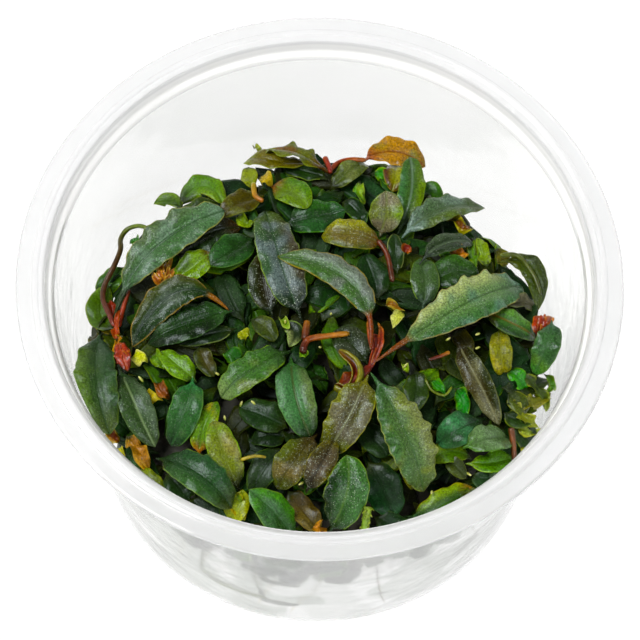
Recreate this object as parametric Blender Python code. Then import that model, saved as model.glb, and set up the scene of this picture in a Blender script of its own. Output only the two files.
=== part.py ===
"""A clump of bucephalandra plants in its clear plastic cup.

The cup is a thin turned shell that stands on the table at z = 0. The plants fill it: single
leaves lie over each other on a rounded top, above one mass of smaller leaves, stems and roots.
Every leaf is placed by three points of its midrib in plan. It is then raised towards the eye
until it rests clear of what lies under it, as real leaves do.
Lengths are written in millimetres and turned to metres when a mesh is finished.
"""

import math
from collections import namedtuple

import bmesh
import bpy
from mathutils import Matrix, Vector
from mathutils.bvhtree import BVHTree

MILLIMETRE = 0.001

# Cup. The rim is a flat flange with a thin bead round it, over a collar with a ledge inside
CUP_HEIGHT = 60.0
RIM_RADIUS = 50.0
FLANGE_TOP = 59.7
FLANGE_UNDERSIDE = 59.0
FLANGE_ROUNDING = 0.5
BEAD_RADIUS = 46.8
BEAD_HALF_WIDTH = 0.55
LIP_RADIUS = 45.2
COLLAR_RADIUS = 45.8
COLLAR_FOOT = 56.5
LEDGE_RADIUS = 44.7
LEDGE_HEIGHT = 56.9
WALL_TOP_RADIUS = 44.7
WALL_TOP_HEIGHT = 55.5
BASE_RADIUS = 39.5
BASE_FILLET = 3.0
WALL = 0.8
FLOOR = 1.0
CUP_FACETS = 56

# Plants' rounded top, and the mass of small growth under the leaves
CANOPY_TOP = 52.0
CANOPY_FALL = 8.0
CANOPY_REACH = 40.0
CANOPY_CENTRE_Y = -4.0
GROWTH_DEPTH = 4.0
GROWTH_SHIFT = -4.5
GROWTH_FOOT_RADIUS = 21.0
GROWTH_RADIUS = 36.5
GROWTH_BACK_PULL = 5.0
GROWTH_FACETS = 36
GROWTH_FOOT = 1.3

# The small growth's rings as (radius, height), up its side and then in over the rounded top,
# whose height the canopy gives
GROWTH_RINGS = (
    (0.0, GROWTH_FOOT),
    (GROWTH_FOOT_RADIUS, GROWTH_FOOT),
    (GROWTH_FOOT_RADIUS + 4.0, 7.0),
    (GROWTH_FOOT_RADIUS + 9.0, 17.0),
    (GROWTH_FOOT_RADIUS + 13.5, 27.0),
    (GROWTH_RADIUS - 0.6, 35.0),
    (GROWTH_RADIUS, None),
    (GROWTH_RADIUS * 0.9, None),
    (GROWTH_RADIUS * 0.72, None),
    (GROWTH_RADIUS * 0.54, None),
    (GROWTH_RADIUS * 0.36, None),
    (GROWTH_RADIUS * 0.18, None),
    (0.0, None),
)

# Where the eye is, over the front of the cup
EYE = Vector((0.0, -204.3, 461.0))

# Leaves. The fold is how far the margins stand above the midrib, as a share of half the width
LEAF_STATIONS = 10
LEAF_SIDES = 4
LEAF_THICKNESS = 0.5
LEAF_FOLD = 0.16
BLADE_SKEW = 0.9
BLADE_FULLNESS = 0.52
RUFFLE_TURNS = 2.6
RUFFLE_LAG = 1.3
STALK_WIDTH = 1.0
STALK_THICKNESS = 0.9
STALK_TAPER = 0.03
STALK_END = 0.05
STALK_STATIONS = 8
STALK_SIDES = 6

# Laying of the pieces: gaps to what lies below and to the wall, and the step that is
# still let pass
REST_GAP = 0.42
WALL_GAP = 0.45
SETTLE_STEP = 0.02
SETTLE_ROUNDS = 160

# How far a leaf's base, middle and tip stand off the rounded top, towards the eye
LYING = (-2.0, 0.0, -1.0)
ARCHED = (-3.0, 3.0, -2.5)
DROOPING = (-1.0, 3.0, -4.5)
RISING = (-3.5, 0.5, 3.5)

Leaf = namedtuple("Leaf", "name base middle tip posture width stalk roll ruffle tone")
Stalk = namedtuple("Stalk", "name route radii lift tone")

# From the lowest to the topmost: midrib points in plan, posture, blade width, the stalk's share
# of the length, sideways tilt in degrees, ruffle of the margin, and the colour by name
PIECES = (
    Leaf("middle_leaf_1", (-26, 7), (-20.5, 11), (-13.5, 13.5), LYING, 7.0, 0.12, 0, 0.3, "dusk"),
    Leaf("rear_leaf_1", (-6.5, 13.5), (-1.5, 15), (4, 16.5), LYING, 6.5, 0.10, 0, 0.3, "deep"),
    Leaf("rear_leaf_2", (-9, 21.5), (-5.3, 20.3), (-2.5, 16.8), LYING, 5.6, 0.08, 0, 0.2, "lime"),
    Leaf("rear_leaf_3", (-9.8, 19.5), (-13.5, 18.3), (-17.5, 15.5), LYING, 4.6, 0.10, 0, 0.3, "olive"),
    Leaf("rear_leaf_4", (-1, 26.5), (-8, 27.6), (-14.1, 28.6), ARCHED, 4.4, 0.10, 20, 0.3, "lime"),
    Leaf("rear_leaf_5", (1.5, 24.5), (-4.8, 29.3), (-11, 31), ARCHED, 5.0, 0.10, 35, 0.6, "olive"),
    Leaf("rear_leaf_6", (1.2, 20.5), (4.3, 25), (8, 28), ARCHED, 3.8, 0.10, 0, 0.3, "olive"),
    Leaf("rear_leaf_7", (12.3, 29), (12.6, 25.5), (12, 21.8), LYING, 4.4, 0.08, 0, 0.2, "lime"),
    Leaf("rear_leaf_8", (7, 28), (12, 31.5), (18, 28.8), ARCHED, 5.6, 0.06, 0, 0.4, "amber"),
    Leaf("rear_leaf_9", (12.7, 12), (15.2, 21), (15, 30), RISING, 4.6, 0.12, 0, 0.3, "green"),
    Leaf("rear_leaf_10", (9.8, 11.5), (10.9, 16.5), (10.8, 21.4), RISING, 5.8, 0.10, 0, 0.3, "olive"),
    Leaf("right_leaf_1", (17.8, 1.5), (21.8, 5.5), (27, 5), LYING, 6.0, 0.10, 0, 0.2, "deep"),
    Leaf("middle_leaf_3", (17.2, -2.5), (17.6, 3.4), (16.6, 8.2), LYING, 5.0, 0.12, 0, 0.2, "green"),
    Leaf("right_leaf_2", (16.5, 6.5), (21, 11.3), (26, 11.8), ARCHED, 3.8, 0.12, 0, 0.2, "teal"),
    Leaf("rear_leaf_11", (13.5, 11.5), (20, 18.2), (28, 20.6), ARCHED, 5.2, 0.08, 0, 0.4, "teal"),
    Leaf("rear_leaf_12", (11.2, 9.9), (5.2, 11.9), (-0.3, 11.7), ARCHED, 5.6, 0.10, 0, 0.2, "olive"),
    Leaf("right_leaf_3", (30, 9), (36, 9.6), (37, 1.4), ARCHED, 4.2, 0.10, 0, 0.3, "green"),
    Stalk("arching_stalk", ((-30, 14.6), (-32.8, 15.2), (-34.5, 12), (-34.6, 8.6), (-36.6, 3.4),
                            (-35.4, -1.6)), (0.7, 0.65, 0.6), 1.0, "brown"),
    Leaf("middle_leaf_4", (-17.8, 8.5), (-21, 5.8), (-24.5, 2.8), LYING, 5.0, 0.10, 0, 0.3, "lime"),
    Stalk("scaly_bud", ((-26.6, 3), (-26.2, 6), (-25.4, 9.6)), (0.7, 1.5, 0.3), 0.0, "orange"),
    Leaf("middle_leaf_5", (-11, 11), (-14.6, 8.6), (-18.5, 5.5), LYING, 6.0, 0.10, 0, 0.2, "green"),
    Leaf("middle_leaf_6", (-7.6, -4.2), (-9.4, 1.8), (-9.6, 8), LYING, 5.4, 0.10, 0, 0.2, "dusk"),
    Leaf("middle_leaf_7", (-2.6, -5.2), (-6.6, 6), (-9.6, 17.4), ARCHED, 7.2, 0.10, 0, 0.3, "sheen"),
    Leaf("front_leaf_1", (8.3, -12.5), (5.8, -9), (2.4, -6.2), LYING, 6.0, 0.10, 0, 0.2, "deep"),
    Stalk("cut_stem", ((4.8, -6.7), (1.5, -7.3), (-1.6, -8.2), (-2.8, -10.3)), (0.6, 0.6, 0.7), 0.0,
          "orange"),
    Stalk("red_stem", ((8.0, -14.4), (9.0, -9.4), (10.5, -6.6), (10.1, -4.2)), (0.9, 0.9, 0.5), 0.0,
          "red"),
    Leaf("middle_leaf_8", (8.6, -10), (5.4, 2.3), (-7.6, 7.6), ARCHED, 5.4, 0.22, 0, 0.4, "sheen"),
    Leaf("left_leaf_1", (-14.3, -3), (-21.4, -5.2), (-28.6, -8.4), LYING, 6.6, 0.08, 0, 0.3, "deep"),
    Leaf("left_leaf_2", (-33.3, -11.5), (-30, -19), (-26.3, -26.3), ARCHED, 5.6, 0.10, 0, 0.2, "teal"),
    Leaf("left_leaf_3", (-36.5, -4.5), (-37, -13), (-34, -23), ARCHED, 7.0, 0.08, 0, 0.4, "deep"),
    Leaf("left_leaf_4", (-34.5, -3.5), (-28.6, 9.2), (-16.4, 16.6), ARCHED, 7.4, 0.18, 0, 0.6, "teal"),
    Leaf("left_leaf_5", (-15, -3), (-23.8, 0.6), (-31, -9), DROOPING, 5.8, 0.16, 0, 0.4, "teal"),
    Stalk("red_sheath", ((-33.3, -7), (-32.4, -10.4), (-31.7, -13.8)), (0.5, 1.4, 0.3), 0.0, "red"),
    Leaf("left_leaf_6", (-19.8, -16), (-22.7, -13.2), (-26.3, -10), LYING, 4.2, 0.10, 0, 0.4, "lime"),
    Leaf("left_leaf_7", (-19, -28.6), (-18.4, -24), (-16.3, -19), LYING, 4.2, 0.10, 0, 0.2, "lime"),
    Leaf("left_leaf_8", (-20.5, -15), (-21.4, -20.3), (-23.5, -26.3), ARCHED, 5.4, 0.10, 0, 0.2, "green"),
    Leaf("front_leaf_2", (-4.4, -11.2), (-3.6, -18), (-1, -25.3), ARCHED, 6.2, 0.08, 0, 0.2, "green"),
    Leaf("front_leaf_3", (-4.3, -10.2), (-10.4, -13.4), (-16, -18.8), ARCHED, 6.0, 0.10, 0, 0.3, "green"),
    Leaf("front_leaf_4", (0.3, -24.8), (-3.2, -29), (-6.2, -34), ARCHED, 6.0, 0.10, 0, 0.3, "olive"),
    Leaf("front_leaf_5", (-2.5, -41), (-6, -38), (-10.3, -33.8), RISING, 6.4, 0.10, 0, 0.2, "green"),
    Leaf("front_leaf_6", (-12, -34.3), (-14.8, -28.3), (-16.8, -22.3), ARCHED, 5.3, 0.08, 0, 0.2, "lime"),
    Leaf("front_leaf_7", (-26.3, -28), (-19, -31), (-13.2, -36.8), ARCHED, 6.8, 0.08, 0, 0.3, "teal"),
    Stalk("rolled_leaf", ((3.4, -9.8), (6.0, -12), (6.6, -14.6), (5.2, -17.2), (2.8, -16.2)),
          (0.5, 0.9, 0.6), 0.0, "red"),
    Leaf("front_leaf_8", (8.4, -14), (5.7, -20.8), (2.2, -27.8), ARCHED, 7.0, 0.10, 0, 0.5, "olive"),
    Leaf("front_leaf_9", (-1.5, -34.5), (0.8, -30), (2.8, -26.2), ARCHED, 4.6, 0.10, 0, 0.2, "dusk"),
    Leaf("front_leaf_10", (2.2, -40.5), (5.2, -34.3), (5, -28.2), ARCHED, 7.2, 0.08, 0, 0.3, "green"),
    Stalk("fringed_stalk", ((8.8, -36), (8.4, -38.4), (8.0, -40.6)), (0.7, 0.6, 0.6), -1.0, "lime"),
    Leaf("right_leaf_4", (28, -20), (23.8, -22.3), (19.8, -25.3), ARCHED, 5.8, 0.10, 0, 0.2, "teal"),
    Leaf("right_leaf_5", (24.5, -27.8), (28.8, -27), (33.5, -25), LYING, 4.0, 0.10, 0, 0.4, "lime"),
    Leaf("right_leaf_6", (24, -25.5), (28.3, -23.4), (32.8, -22), ARCHED, 5.4, 0.10, 0, 0.2, "green"),
    Leaf("front_leaf_11", (15.5, -38), (21.3, -34.3), (27, -31), ARCHED, 5.0, 0.08, 0, 0.3, "lime"),
    Leaf("front_leaf_12", (8.6, -13.6), (14.2, -23), (18, -33.3), ARCHED, 7.8, 0.10, 0, 0.7, "green"),
    Leaf("right_leaf_7", (30.2, -3.5), (30.4, -8), (31, -12.5), ARCHED, 3.8, 0.08, 0, 0.2, "yellow"),
    Leaf("right_leaf_8", (22.5, -6.5), (26.3, -13.3), (30.2, -20.6), ARCHED, 4.5, 0.10, 25, 0.3, "dusk"),
    Leaf("right_leaf_9", (27.5, -1.5), (32, -2.3), (36.6, -4.2), ARCHED, 4.4, 0.10, 0, 0.2, "green"),
    Leaf("right_leaf_10", (9.2, -12), (23, -1.2), (34.8, 6.2), ARCHED, 8.0, 0.17, 0, 0.8, "green"),
    Stalk("red_bud", ((37.0, -3.6), (37.4, -1.4), (38.3, 1.2)), (0.6, 1.4, 0.7), 0.0, "red"),
    Leaf("right_leaf_11", (39.4, 0.6), (38.6, -4.6), (36, -10.8), ARCHED, 4.5, 0.08, 0, 0.3, "teal"),
)

# sRGB colour and roughness of each finish
FINISHES = {
    "cup": ("F2F4F3", 0.12),
    "growth": ("1B2A14", 0.7),
    "deep": ("23402A", 0.4),
    "green": ("3F6B3E", 0.4),
    "teal": ("3D5F52", 0.35),
    "sheen": ("5C6E66", 0.35),
    "dusk": ("453A33", 0.4),
    "olive": ("676A2B", 0.4),
    "lime": ("7F9A2B", 0.45),
    "yellow": ("A9A02F", 0.45),
    "amber": ("B0701C", 0.45),
    "orange": ("AD6423", 0.5),
    "brown": ("5B4420", 0.5),
    "red": ("84200F", 0.45),
}


def linear(level):
    """One sRGB channel, 0 to 1, as linear light."""
    if level <= 0.04045:
        return level / 12.92
    return ((level + 0.055) / 1.055) ** 2.4


def finish_material(name, finish):
    """A Principled material of one of the finishes, named for its piece."""
    colour, roughness = FINISHES[finish]
    channels = [linear(int(colour[i:i + 2], 16) / 255) for i in (0, 2, 4)]
    material = bpy.data.materials.new(name)
    material.use_nodes = True
    shader = material.node_tree.nodes["Principled BSDF"]
    shader.inputs["Base Color"].default_value = (*channels, 1.0)
    shader.inputs["Roughness"].default_value = roughness
    shader.inputs["Metallic"].default_value = 0.0
    return material


def finish_piece(bm, name, finish, smooth=True):
    """Turns a bmesh in millimetres into a named object in metres."""
    bmesh.ops.recalc_face_normals(bm, faces=bm.faces[:])
    bmesh.ops.scale(bm, vec=Vector((1, 1, 1)) * MILLIMETRE, verts=bm.verts[:])
    mesh = bpy.data.meshes.new(name)
    bm.to_mesh(mesh)
    bm.free()
    if smooth:
        mesh.shade_smooth()
        mesh.set_sharp_from_angle(angle=math.radians(40))
    mesh.materials.append(finish_material(name, finish))
    piece = bpy.data.objects.new(name, mesh)
    bpy.context.scene.collection.objects.link(piece)
    return piece


def wall_radius(height):
    """The cup's outer wall radius at a height above its base fillet."""
    share = (height - BASE_FILLET) / (WALL_TOP_HEIGHT - BASE_FILLET)
    return BASE_RADIUS + (WALL_TOP_RADIUS - BASE_RADIUS) * share


def cup_profile():
    """The cup's section as (radius, height), from the middle of the underside to the floor's."""
    fillet = [
        (BASE_RADIUS - BASE_FILLET * (1 - math.sin(turn)), BASE_FILLET * (1 - math.cos(turn)))
        for turn in (math.radians(a) for a in (0, 30, 60, 90))
    ]
    inner = BASE_FILLET - WALL
    inner_fillet = [
        (BASE_RADIUS - WALL - inner * (1 - math.sin(turn)), FLOOR + inner * (1 - math.cos(turn)))
        for turn in (math.radians(a) for a in (90, 45, 0))
    ]
    rim = [
        (WALL_TOP_RADIUS, WALL_TOP_HEIGHT),
        (COLLAR_RADIUS, COLLAR_FOOT),
        (COLLAR_RADIUS, FLANGE_UNDERSIDE),
        (RIM_RADIUS - FLANGE_ROUNDING, FLANGE_UNDERSIDE),
        (RIM_RADIUS, (FLANGE_UNDERSIDE + FLANGE_TOP) / 2),
        (RIM_RADIUS - FLANGE_ROUNDING / 2, FLANGE_TOP),
        (BEAD_RADIUS + BEAD_HALF_WIDTH, FLANGE_TOP),
        (BEAD_RADIUS, CUP_HEIGHT),
        (BEAD_RADIUS - BEAD_HALF_WIDTH, FLANGE_TOP),
        (LIP_RADIUS, FLANGE_TOP),
        (LEDGE_RADIUS, LEDGE_HEIGHT),
        (WALL_TOP_RADIUS - WALL, WALL_TOP_HEIGHT),
    ]
    return [(0.0, 0.0)] + fillet + rim + inner_fillet + [(0.0, FLOOR)]


def make_cup():
    """The cup: its section turned once round the middle."""
    bm = bmesh.new()
    section = [bm.verts.new((radius, 0, height)) for radius, height in cup_profile()]
    edges = [bm.edges.new(pair) for pair in zip(section, section[1:])]
    bmesh.ops.spin(bm, geom=section + edges, cent=(0, 0, 0), axis=(0, 0, 1), angle=math.tau,
                   steps=CUP_FACETS, use_merge=True)
    bmesh.ops.remove_doubles(bm, verts=bm.verts[:], dist=0.001)
    bmesh.ops.triangulate(bm, faces=bm.faces[:])
    finish_piece(bm, "cup", "cup")


def canopy(x, y):
    """Height of the plants' rounded top above the table."""
    spread = (x * x + (y - CANOPY_CENTRE_Y) ** 2) / CANOPY_REACH ** 2
    return CANOPY_TOP - CANOPY_FALL * spread ** 2


def wrapped_skin(columns, rows, place):
    """A closed skin: a grid whose sides meet and whose ends close to a point.

    place(around, along) gives a point in millimetres for shares from 0 to 1.
    """
    bm = bmesh.new()
    bmesh.ops.create_grid(bm, x_segments=columns, y_segments=rows, size=0.5)
    for vert in bm.verts:
        around = round((vert.co.x + 0.5) * columns) % columns / columns
        along = round((vert.co.y + 0.5) * rows) / rows
        vert.co = place(around, along)
    bmesh.ops.remove_doubles(bm, verts=bm.verts[:], dist=0.002)
    bmesh.ops.triangulate(bm, faces=bm.faces[:], quad_method="SHORT_EDGE")
    return bm


def growth_point(around, along):
    """A point of the small growth's skin, which is drawn in at the back of the cup."""
    radius, height = GROWTH_RINGS[round(along * (len(GROWTH_RINGS) - 1))]
    turn = math.tau * around
    spread = radius / GROWTH_RADIUS
    x = radius * math.cos(turn)
    y = radius * math.sin(turn) + GROWTH_SHIFT * spread
    y -= GROWTH_BACK_PULL * spread * max(0.0, math.sin(turn)) ** 2
    if height is None:
        height = canopy(x, y) - GROWTH_DEPTH
    return Vector((x, y, height))


def growth_skin():
    """The mass of small leaves, stems and roots: narrow on the cup's floor, wide above."""
    return wrapped_skin(GROWTH_FACETS, len(GROWTH_RINGS) - 1, growth_point)


def bow(start, middle, end, share):
    """A point at a share of the bow from start to end that passes the middle half way."""
    pull = [2 * m - (s + e) / 2 for s, m, e in zip(start, middle, end)]
    return [
        (1 - share) ** 2 * s + 2 * share * (1 - share) * p + share ** 2 * e
        for s, p, e in zip(start, pull, end)
    ]


def lift_weights(count, share):
    """How much each of the posture's lifts counts at a share of the length."""
    if count == 1:
        return (1.0,)
    return ((1 - share) ** 2, 2 * share * (1 - share), share ** 2)


def raised(x, y, lift):
    """The point of the rounded top at x, y, raised towards the eye."""
    foot = Vector((x, y, canopy(x, y)))
    return foot + (EYE - foot).normalized() * lift


def inside_cup(point):
    """The point, drawn in where it would come too near the cup's wall."""
    reach = wall_radius(min(point.z, WALL_TOP_HEIGHT)) - WALL - WALL_GAP
    radius = math.hypot(point.x, point.y)
    if radius <= reach:
        return point
    return Vector((point.x * reach / radius, point.y * reach / radius, point.z))


def midrib(leaf, lifts, share):
    """A point of a leaf's midrib."""
    x, y = bow(leaf.base, leaf.middle, leaf.tip, share)
    lift = sum(l * w for l, w in zip(lifts, lift_weights(3, share)))
    return raised(x, y, lift)


def half_width(leaf, share):
    """Half the leaf's width at a share of its length: a slim stalk, then an oval blade."""
    stalk = STALK_WIDTH / 2 * min(1.0, share / STALK_TAPER, (1 - share) / STALK_TAPER)
    if share <= leaf.stalk:
        return stalk
    blade = (share - leaf.stalk) / (1 - leaf.stalk)
    oval = math.sin(math.pi * blade ** BLADE_SKEW) ** BLADE_FULLNESS
    return max(leaf.width / 2 * oval, stalk)


def leaf_point(leaf, lifts, around, along):
    """A point of a leaf's skin. around 0 and 0.5 are its margins, 0.25 its upper midrib."""
    centre = midrib(leaf, lifts, along)
    if along in (0.0, 1.0):
        return inside_cup(centre)
    step = 0.02
    ahead = midrib(leaf, lifts, along + step) - midrib(leaf, lifts, along - step)
    right = ahead.cross(Vector((0, 0, 1))).normalized()
    right.rotate(Matrix.Rotation(math.radians(leaf.roll), 3, ahead))
    normal = right.cross(ahead).normalized()
    half = half_width(leaf, along)
    across = math.cos(math.tau * around)
    if abs(across) < 0.5:
        thick = STALK_THICKNESS if along < leaf.stalk + STALK_END else LEAF_THICKNESS
        return inside_cup(centre + normal * math.sin(math.tau * around) * thick / 2)
    wave = math.sin(math.tau * RUFFLE_TURNS * along + across * RUFFLE_LAG)
    rise = half * LEAF_FOLD + leaf.ruffle * wave * min(1.0, 2 * half / leaf.width)
    return inside_cup(centre + right * across * half + normal * rise)


def leaf_skin(leaf, lifts):
    """A leaf: a blade of diamond section that runs down into its stalk."""
    return wrapped_skin(LEAF_SIDES, LEAF_STATIONS, lambda u, v: leaf_point(leaf, lifts, u, v))


def stalk_centre(stalk, lifts, share):
    """A point of a stalk's middle line, on a smooth curve through its route."""
    place = share * (len(stalk.route) - 1)
    span = min(int(place), len(stalk.route) - 2)
    part = place - span
    last = len(stalk.route) - 1
    near = [Vector(stalk.route[min(max(span + k, 0), last)]) for k in (-1, 0, 1, 2)]
    before, start, end, after = near
    spot = 0.5 * (
        2 * start + (end - before) * part
        + (2 * before - 5 * start + 4 * end - after) * part ** 2
        + (3 * start - before - 3 * end + after) * part ** 3
    )
    return raised(spot.x, spot.y, stalk.lift + lifts[0])


def stalk_point(stalk, lifts, around, along):
    """A point of a stalk's skin."""
    centre = stalk_centre(stalk, lifts, along)
    if along in (0.0, 1.0):
        return inside_cup(centre)
    step = 0.01
    ahead = stalk_centre(stalk, lifts, along + step) - stalk_centre(stalk, lifts, along - step)
    right = ahead.cross(Vector((0, 0, 1))).normalized()
    normal = right.cross(ahead).normalized()
    radius = bow([stalk.radii[0]], [stalk.radii[1]], [stalk.radii[2]], along)[0]
    turn = math.tau * around
    return inside_cup(centre + (right * math.cos(turn) + normal * math.sin(turn)) * radius)


def stalk_skin(stalk, lifts):
    """A stalk, stem or bud: round, and as thick along its length as its radii say."""
    return wrapped_skin(STALK_SIDES, STALK_STATIONS, lambda u, v: stalk_point(stalk, lifts, u, v))


def probes(bm):
    """Points spread over a skin: its corners, and the middles of its edges and faces."""
    spots = [vert.co.copy() for vert in bm.verts]
    spots += [(edge.verts[0].co + edge.verts[1].co) / 2 for edge in bm.edges]
    spots += [face.calc_center_median() for face in bm.faces]
    return spots


def settle(piece, skin_of, lifts, station_of, below):
    """Raises a piece until it lies clear of the skin below it, and returns its finished skin."""
    for _ in range(SETTLE_ROUNDS):
        bm = skin_of(piece, lifts)
        lack, where = 0.0, None
        for spot in probes(bm):
            ray = spot - EYE
            hit = below.ray_cast(EYE, ray)
            if hit[0] is not None and ray.length + REST_GAP - hit[3] > lack:
                lack, where = ray.length + REST_GAP - hit[3], spot
        if where is None or lack < SETTLE_STEP:
            own = BVHTree.FromBMesh(bm)
            if not own.overlap(below):
                return bm
            lifts = [lift + REST_GAP / 2 for lift in lifts]
            bm.free()
            continue
        weights = lift_weights(len(lifts), station_of(piece, lifts, where))
        total = sum(weight ** 2 for weight in weights)
        rise = (lack + SETTLE_STEP) / total
        lifts = [lift + rise * weight for lift, weight in zip(lifts, weights)]
        bm.free()
    raise RuntimeError(piece.name + " finds no place to rest")


def leaf_station(leaf, lifts, spot):
    """The share of a leaf's length that lies nearest to a spot."""
    shares = [k / 20 for k in range(21)]
    return min(shares, key=lambda share: (midrib(leaf, lifts, share) - spot).length)


def stalk_station(stalk, lifts, spot):
    """A stalk is raised as a whole, so every spot of it counts as its foot."""
    return 0.0


def lay_pieces():
    """Lays every leaf and stalk on what lies under it, from the lowest to the topmost."""
    settled = bmesh.new()
    skin = growth_skin()
    add_skin(settled, skin)
    finish_piece(skin, "lower_growth", "growth")
    for piece in PIECES:
        below = BVHTree.FromBMesh(settled)
        if isinstance(piece, Leaf):
            skin = settle(piece, leaf_skin, list(piece.posture), leaf_station, below)
        else:
            skin = settle(piece, stalk_skin, [0.0], stalk_station, below)
        add_skin(settled, skin)
        finish_piece(skin, piece.name, piece.tone)
    settled.free()


def add_skin(whole, skin):
    """Adds a skin to the skins that are already laid."""
    mesh = bpy.data.meshes.new("laid")
    skin.to_mesh(mesh)
    whole.from_mesh(mesh)
    bpy.data.meshes.remove(mesh)


def main():
    for item in list(bpy.data.objects):
        bpy.data.objects.remove(item)
    make_cup()
    lay_pieces()


main()
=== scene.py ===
"""A clump of bucephalandra in its clear plastic cup.

Every named leaf lies where its solid lies and is shaped from the same midrib. The small leaves,
curls and stems between them take the place of the solid of the lower growth.
Lengths are written in millimetres and turned to metres when a piece is finished.
"""
import math
import random
from collections import namedtuple

import bmesh
import bpy
from mathutils import Matrix, Vector, noise
from mathutils.bvhtree import BVHTree


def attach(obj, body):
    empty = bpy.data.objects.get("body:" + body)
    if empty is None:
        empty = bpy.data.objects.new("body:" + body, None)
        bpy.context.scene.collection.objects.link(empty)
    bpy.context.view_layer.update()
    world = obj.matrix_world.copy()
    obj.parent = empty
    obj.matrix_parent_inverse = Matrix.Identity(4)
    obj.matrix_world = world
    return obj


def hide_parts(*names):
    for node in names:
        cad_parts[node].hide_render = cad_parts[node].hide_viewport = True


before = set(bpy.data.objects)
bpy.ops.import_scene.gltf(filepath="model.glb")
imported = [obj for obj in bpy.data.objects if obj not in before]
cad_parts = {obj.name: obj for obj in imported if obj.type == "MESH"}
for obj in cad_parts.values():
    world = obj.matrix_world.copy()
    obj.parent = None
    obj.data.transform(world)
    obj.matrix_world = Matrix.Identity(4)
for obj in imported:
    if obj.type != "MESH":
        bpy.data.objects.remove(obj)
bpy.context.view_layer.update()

bl_info = {
    "name": "Bucephalandra in a Cup",
    "version": (1, 0, 0),
    "blender": (4, 5, 0),
    "location": "3D Viewport > Sidebar > Plant Cup",
    "description": "Models a clump of bucephalandra in its clear plastic cup",
    "category": "Add Mesh",
}

MILLIMETRE = 0.001
# Corners nearer than this, in millimetres, are one
MERGE_DISTANCE = 0.0005

# Cup
CUP_HEIGHT = 60.0
RIM_RADIUS = 50.0
BEAD_RADIUS = 46.8
LIP_RADIUS = 45.2
COLLAR_RADIUS = 45.6
LEDGE_RADIUS = 44.7
WALL_TOP_RADIUS = 44.7
WALL_TOP_HEIGHT = 55.5
BASE_RADIUS = 39.5
BASE_FILLET = 3.0
WALL = 0.8
FLOOR = 1.0
# How near the plants come to the cup's wall and floor
WALL_GAP = 0.45
FLOOR_GAP = 0.4

# Plants' rounded top
CANOPY_TOP = 52.0
CANOPY_FALL = 8.0
CANOPY_REACH = 40.0
CANOPY_CENTRE_Y = -4.0
GROWTH_SHIFT = -4.5
GROWTH_RADIUS = 36.5
GROWTH_BACK_PULL = 5.0
# The point over the front from which the clump is seen, along whose lines the leaves are raised
EYE = Vector((0.0, -204.3, 461.0))

# Side of the lower growth as (height, radius), and how high its leaves reach
SIDE_TOP = 44.0
GROWTH_SIDE = ((1.6, 20.0), (7.0, 24.0), (17.0, 29.0), (27.0, 33.2), (35.0, 35.0), (41.0, 35.6))

# How a blade's outline runs: where it is widest, how bluntly it fills, how it narrows at its
# heel and at its tip (higher is more abrupt)
Form = namedtuple("Form", "skew fullness heel tip")
FORMS = {
    "oval": Form(0.92, 0.54, 6.5, 5.6),
    "lance": Form(0.88, 0.64, 5.0, 4.2),
    "strap": Form(0.96, 0.40, 6.0, 8.0),
    "spoon": Form(1.15, 0.55, 4.4, 8.0),
    "broad": Form(1.30, 0.48, 3.8, 14.0),
    "drop": Form(1.00, 0.55, 3.4, 6.0),
    "round": Form(0.95, 0.50, 9.0, 9.0),
    "wedge": Form(0.60, 0.60, 12.0, 2.2),
}

Look = namedtuple("Look", "heel body tip left right rim rib patch spread")


def look(body, heel=None, tip=None, left=None, right=None, rim=None, rib=None, patch=None,
         spread=0.0):
    """A blade's colours. left and right are its halves, seen from heel to tip.

    spread is how much of the blade its patches cover.
    """
    return Look(heel or body, body, tip or body, left or body, right or body, rim or "8FA054",
                rib or body, patch or body, spread)


Leaf = namedtuple("Leaf", "name base middle tip width stalk roll ruffle form look")

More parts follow.
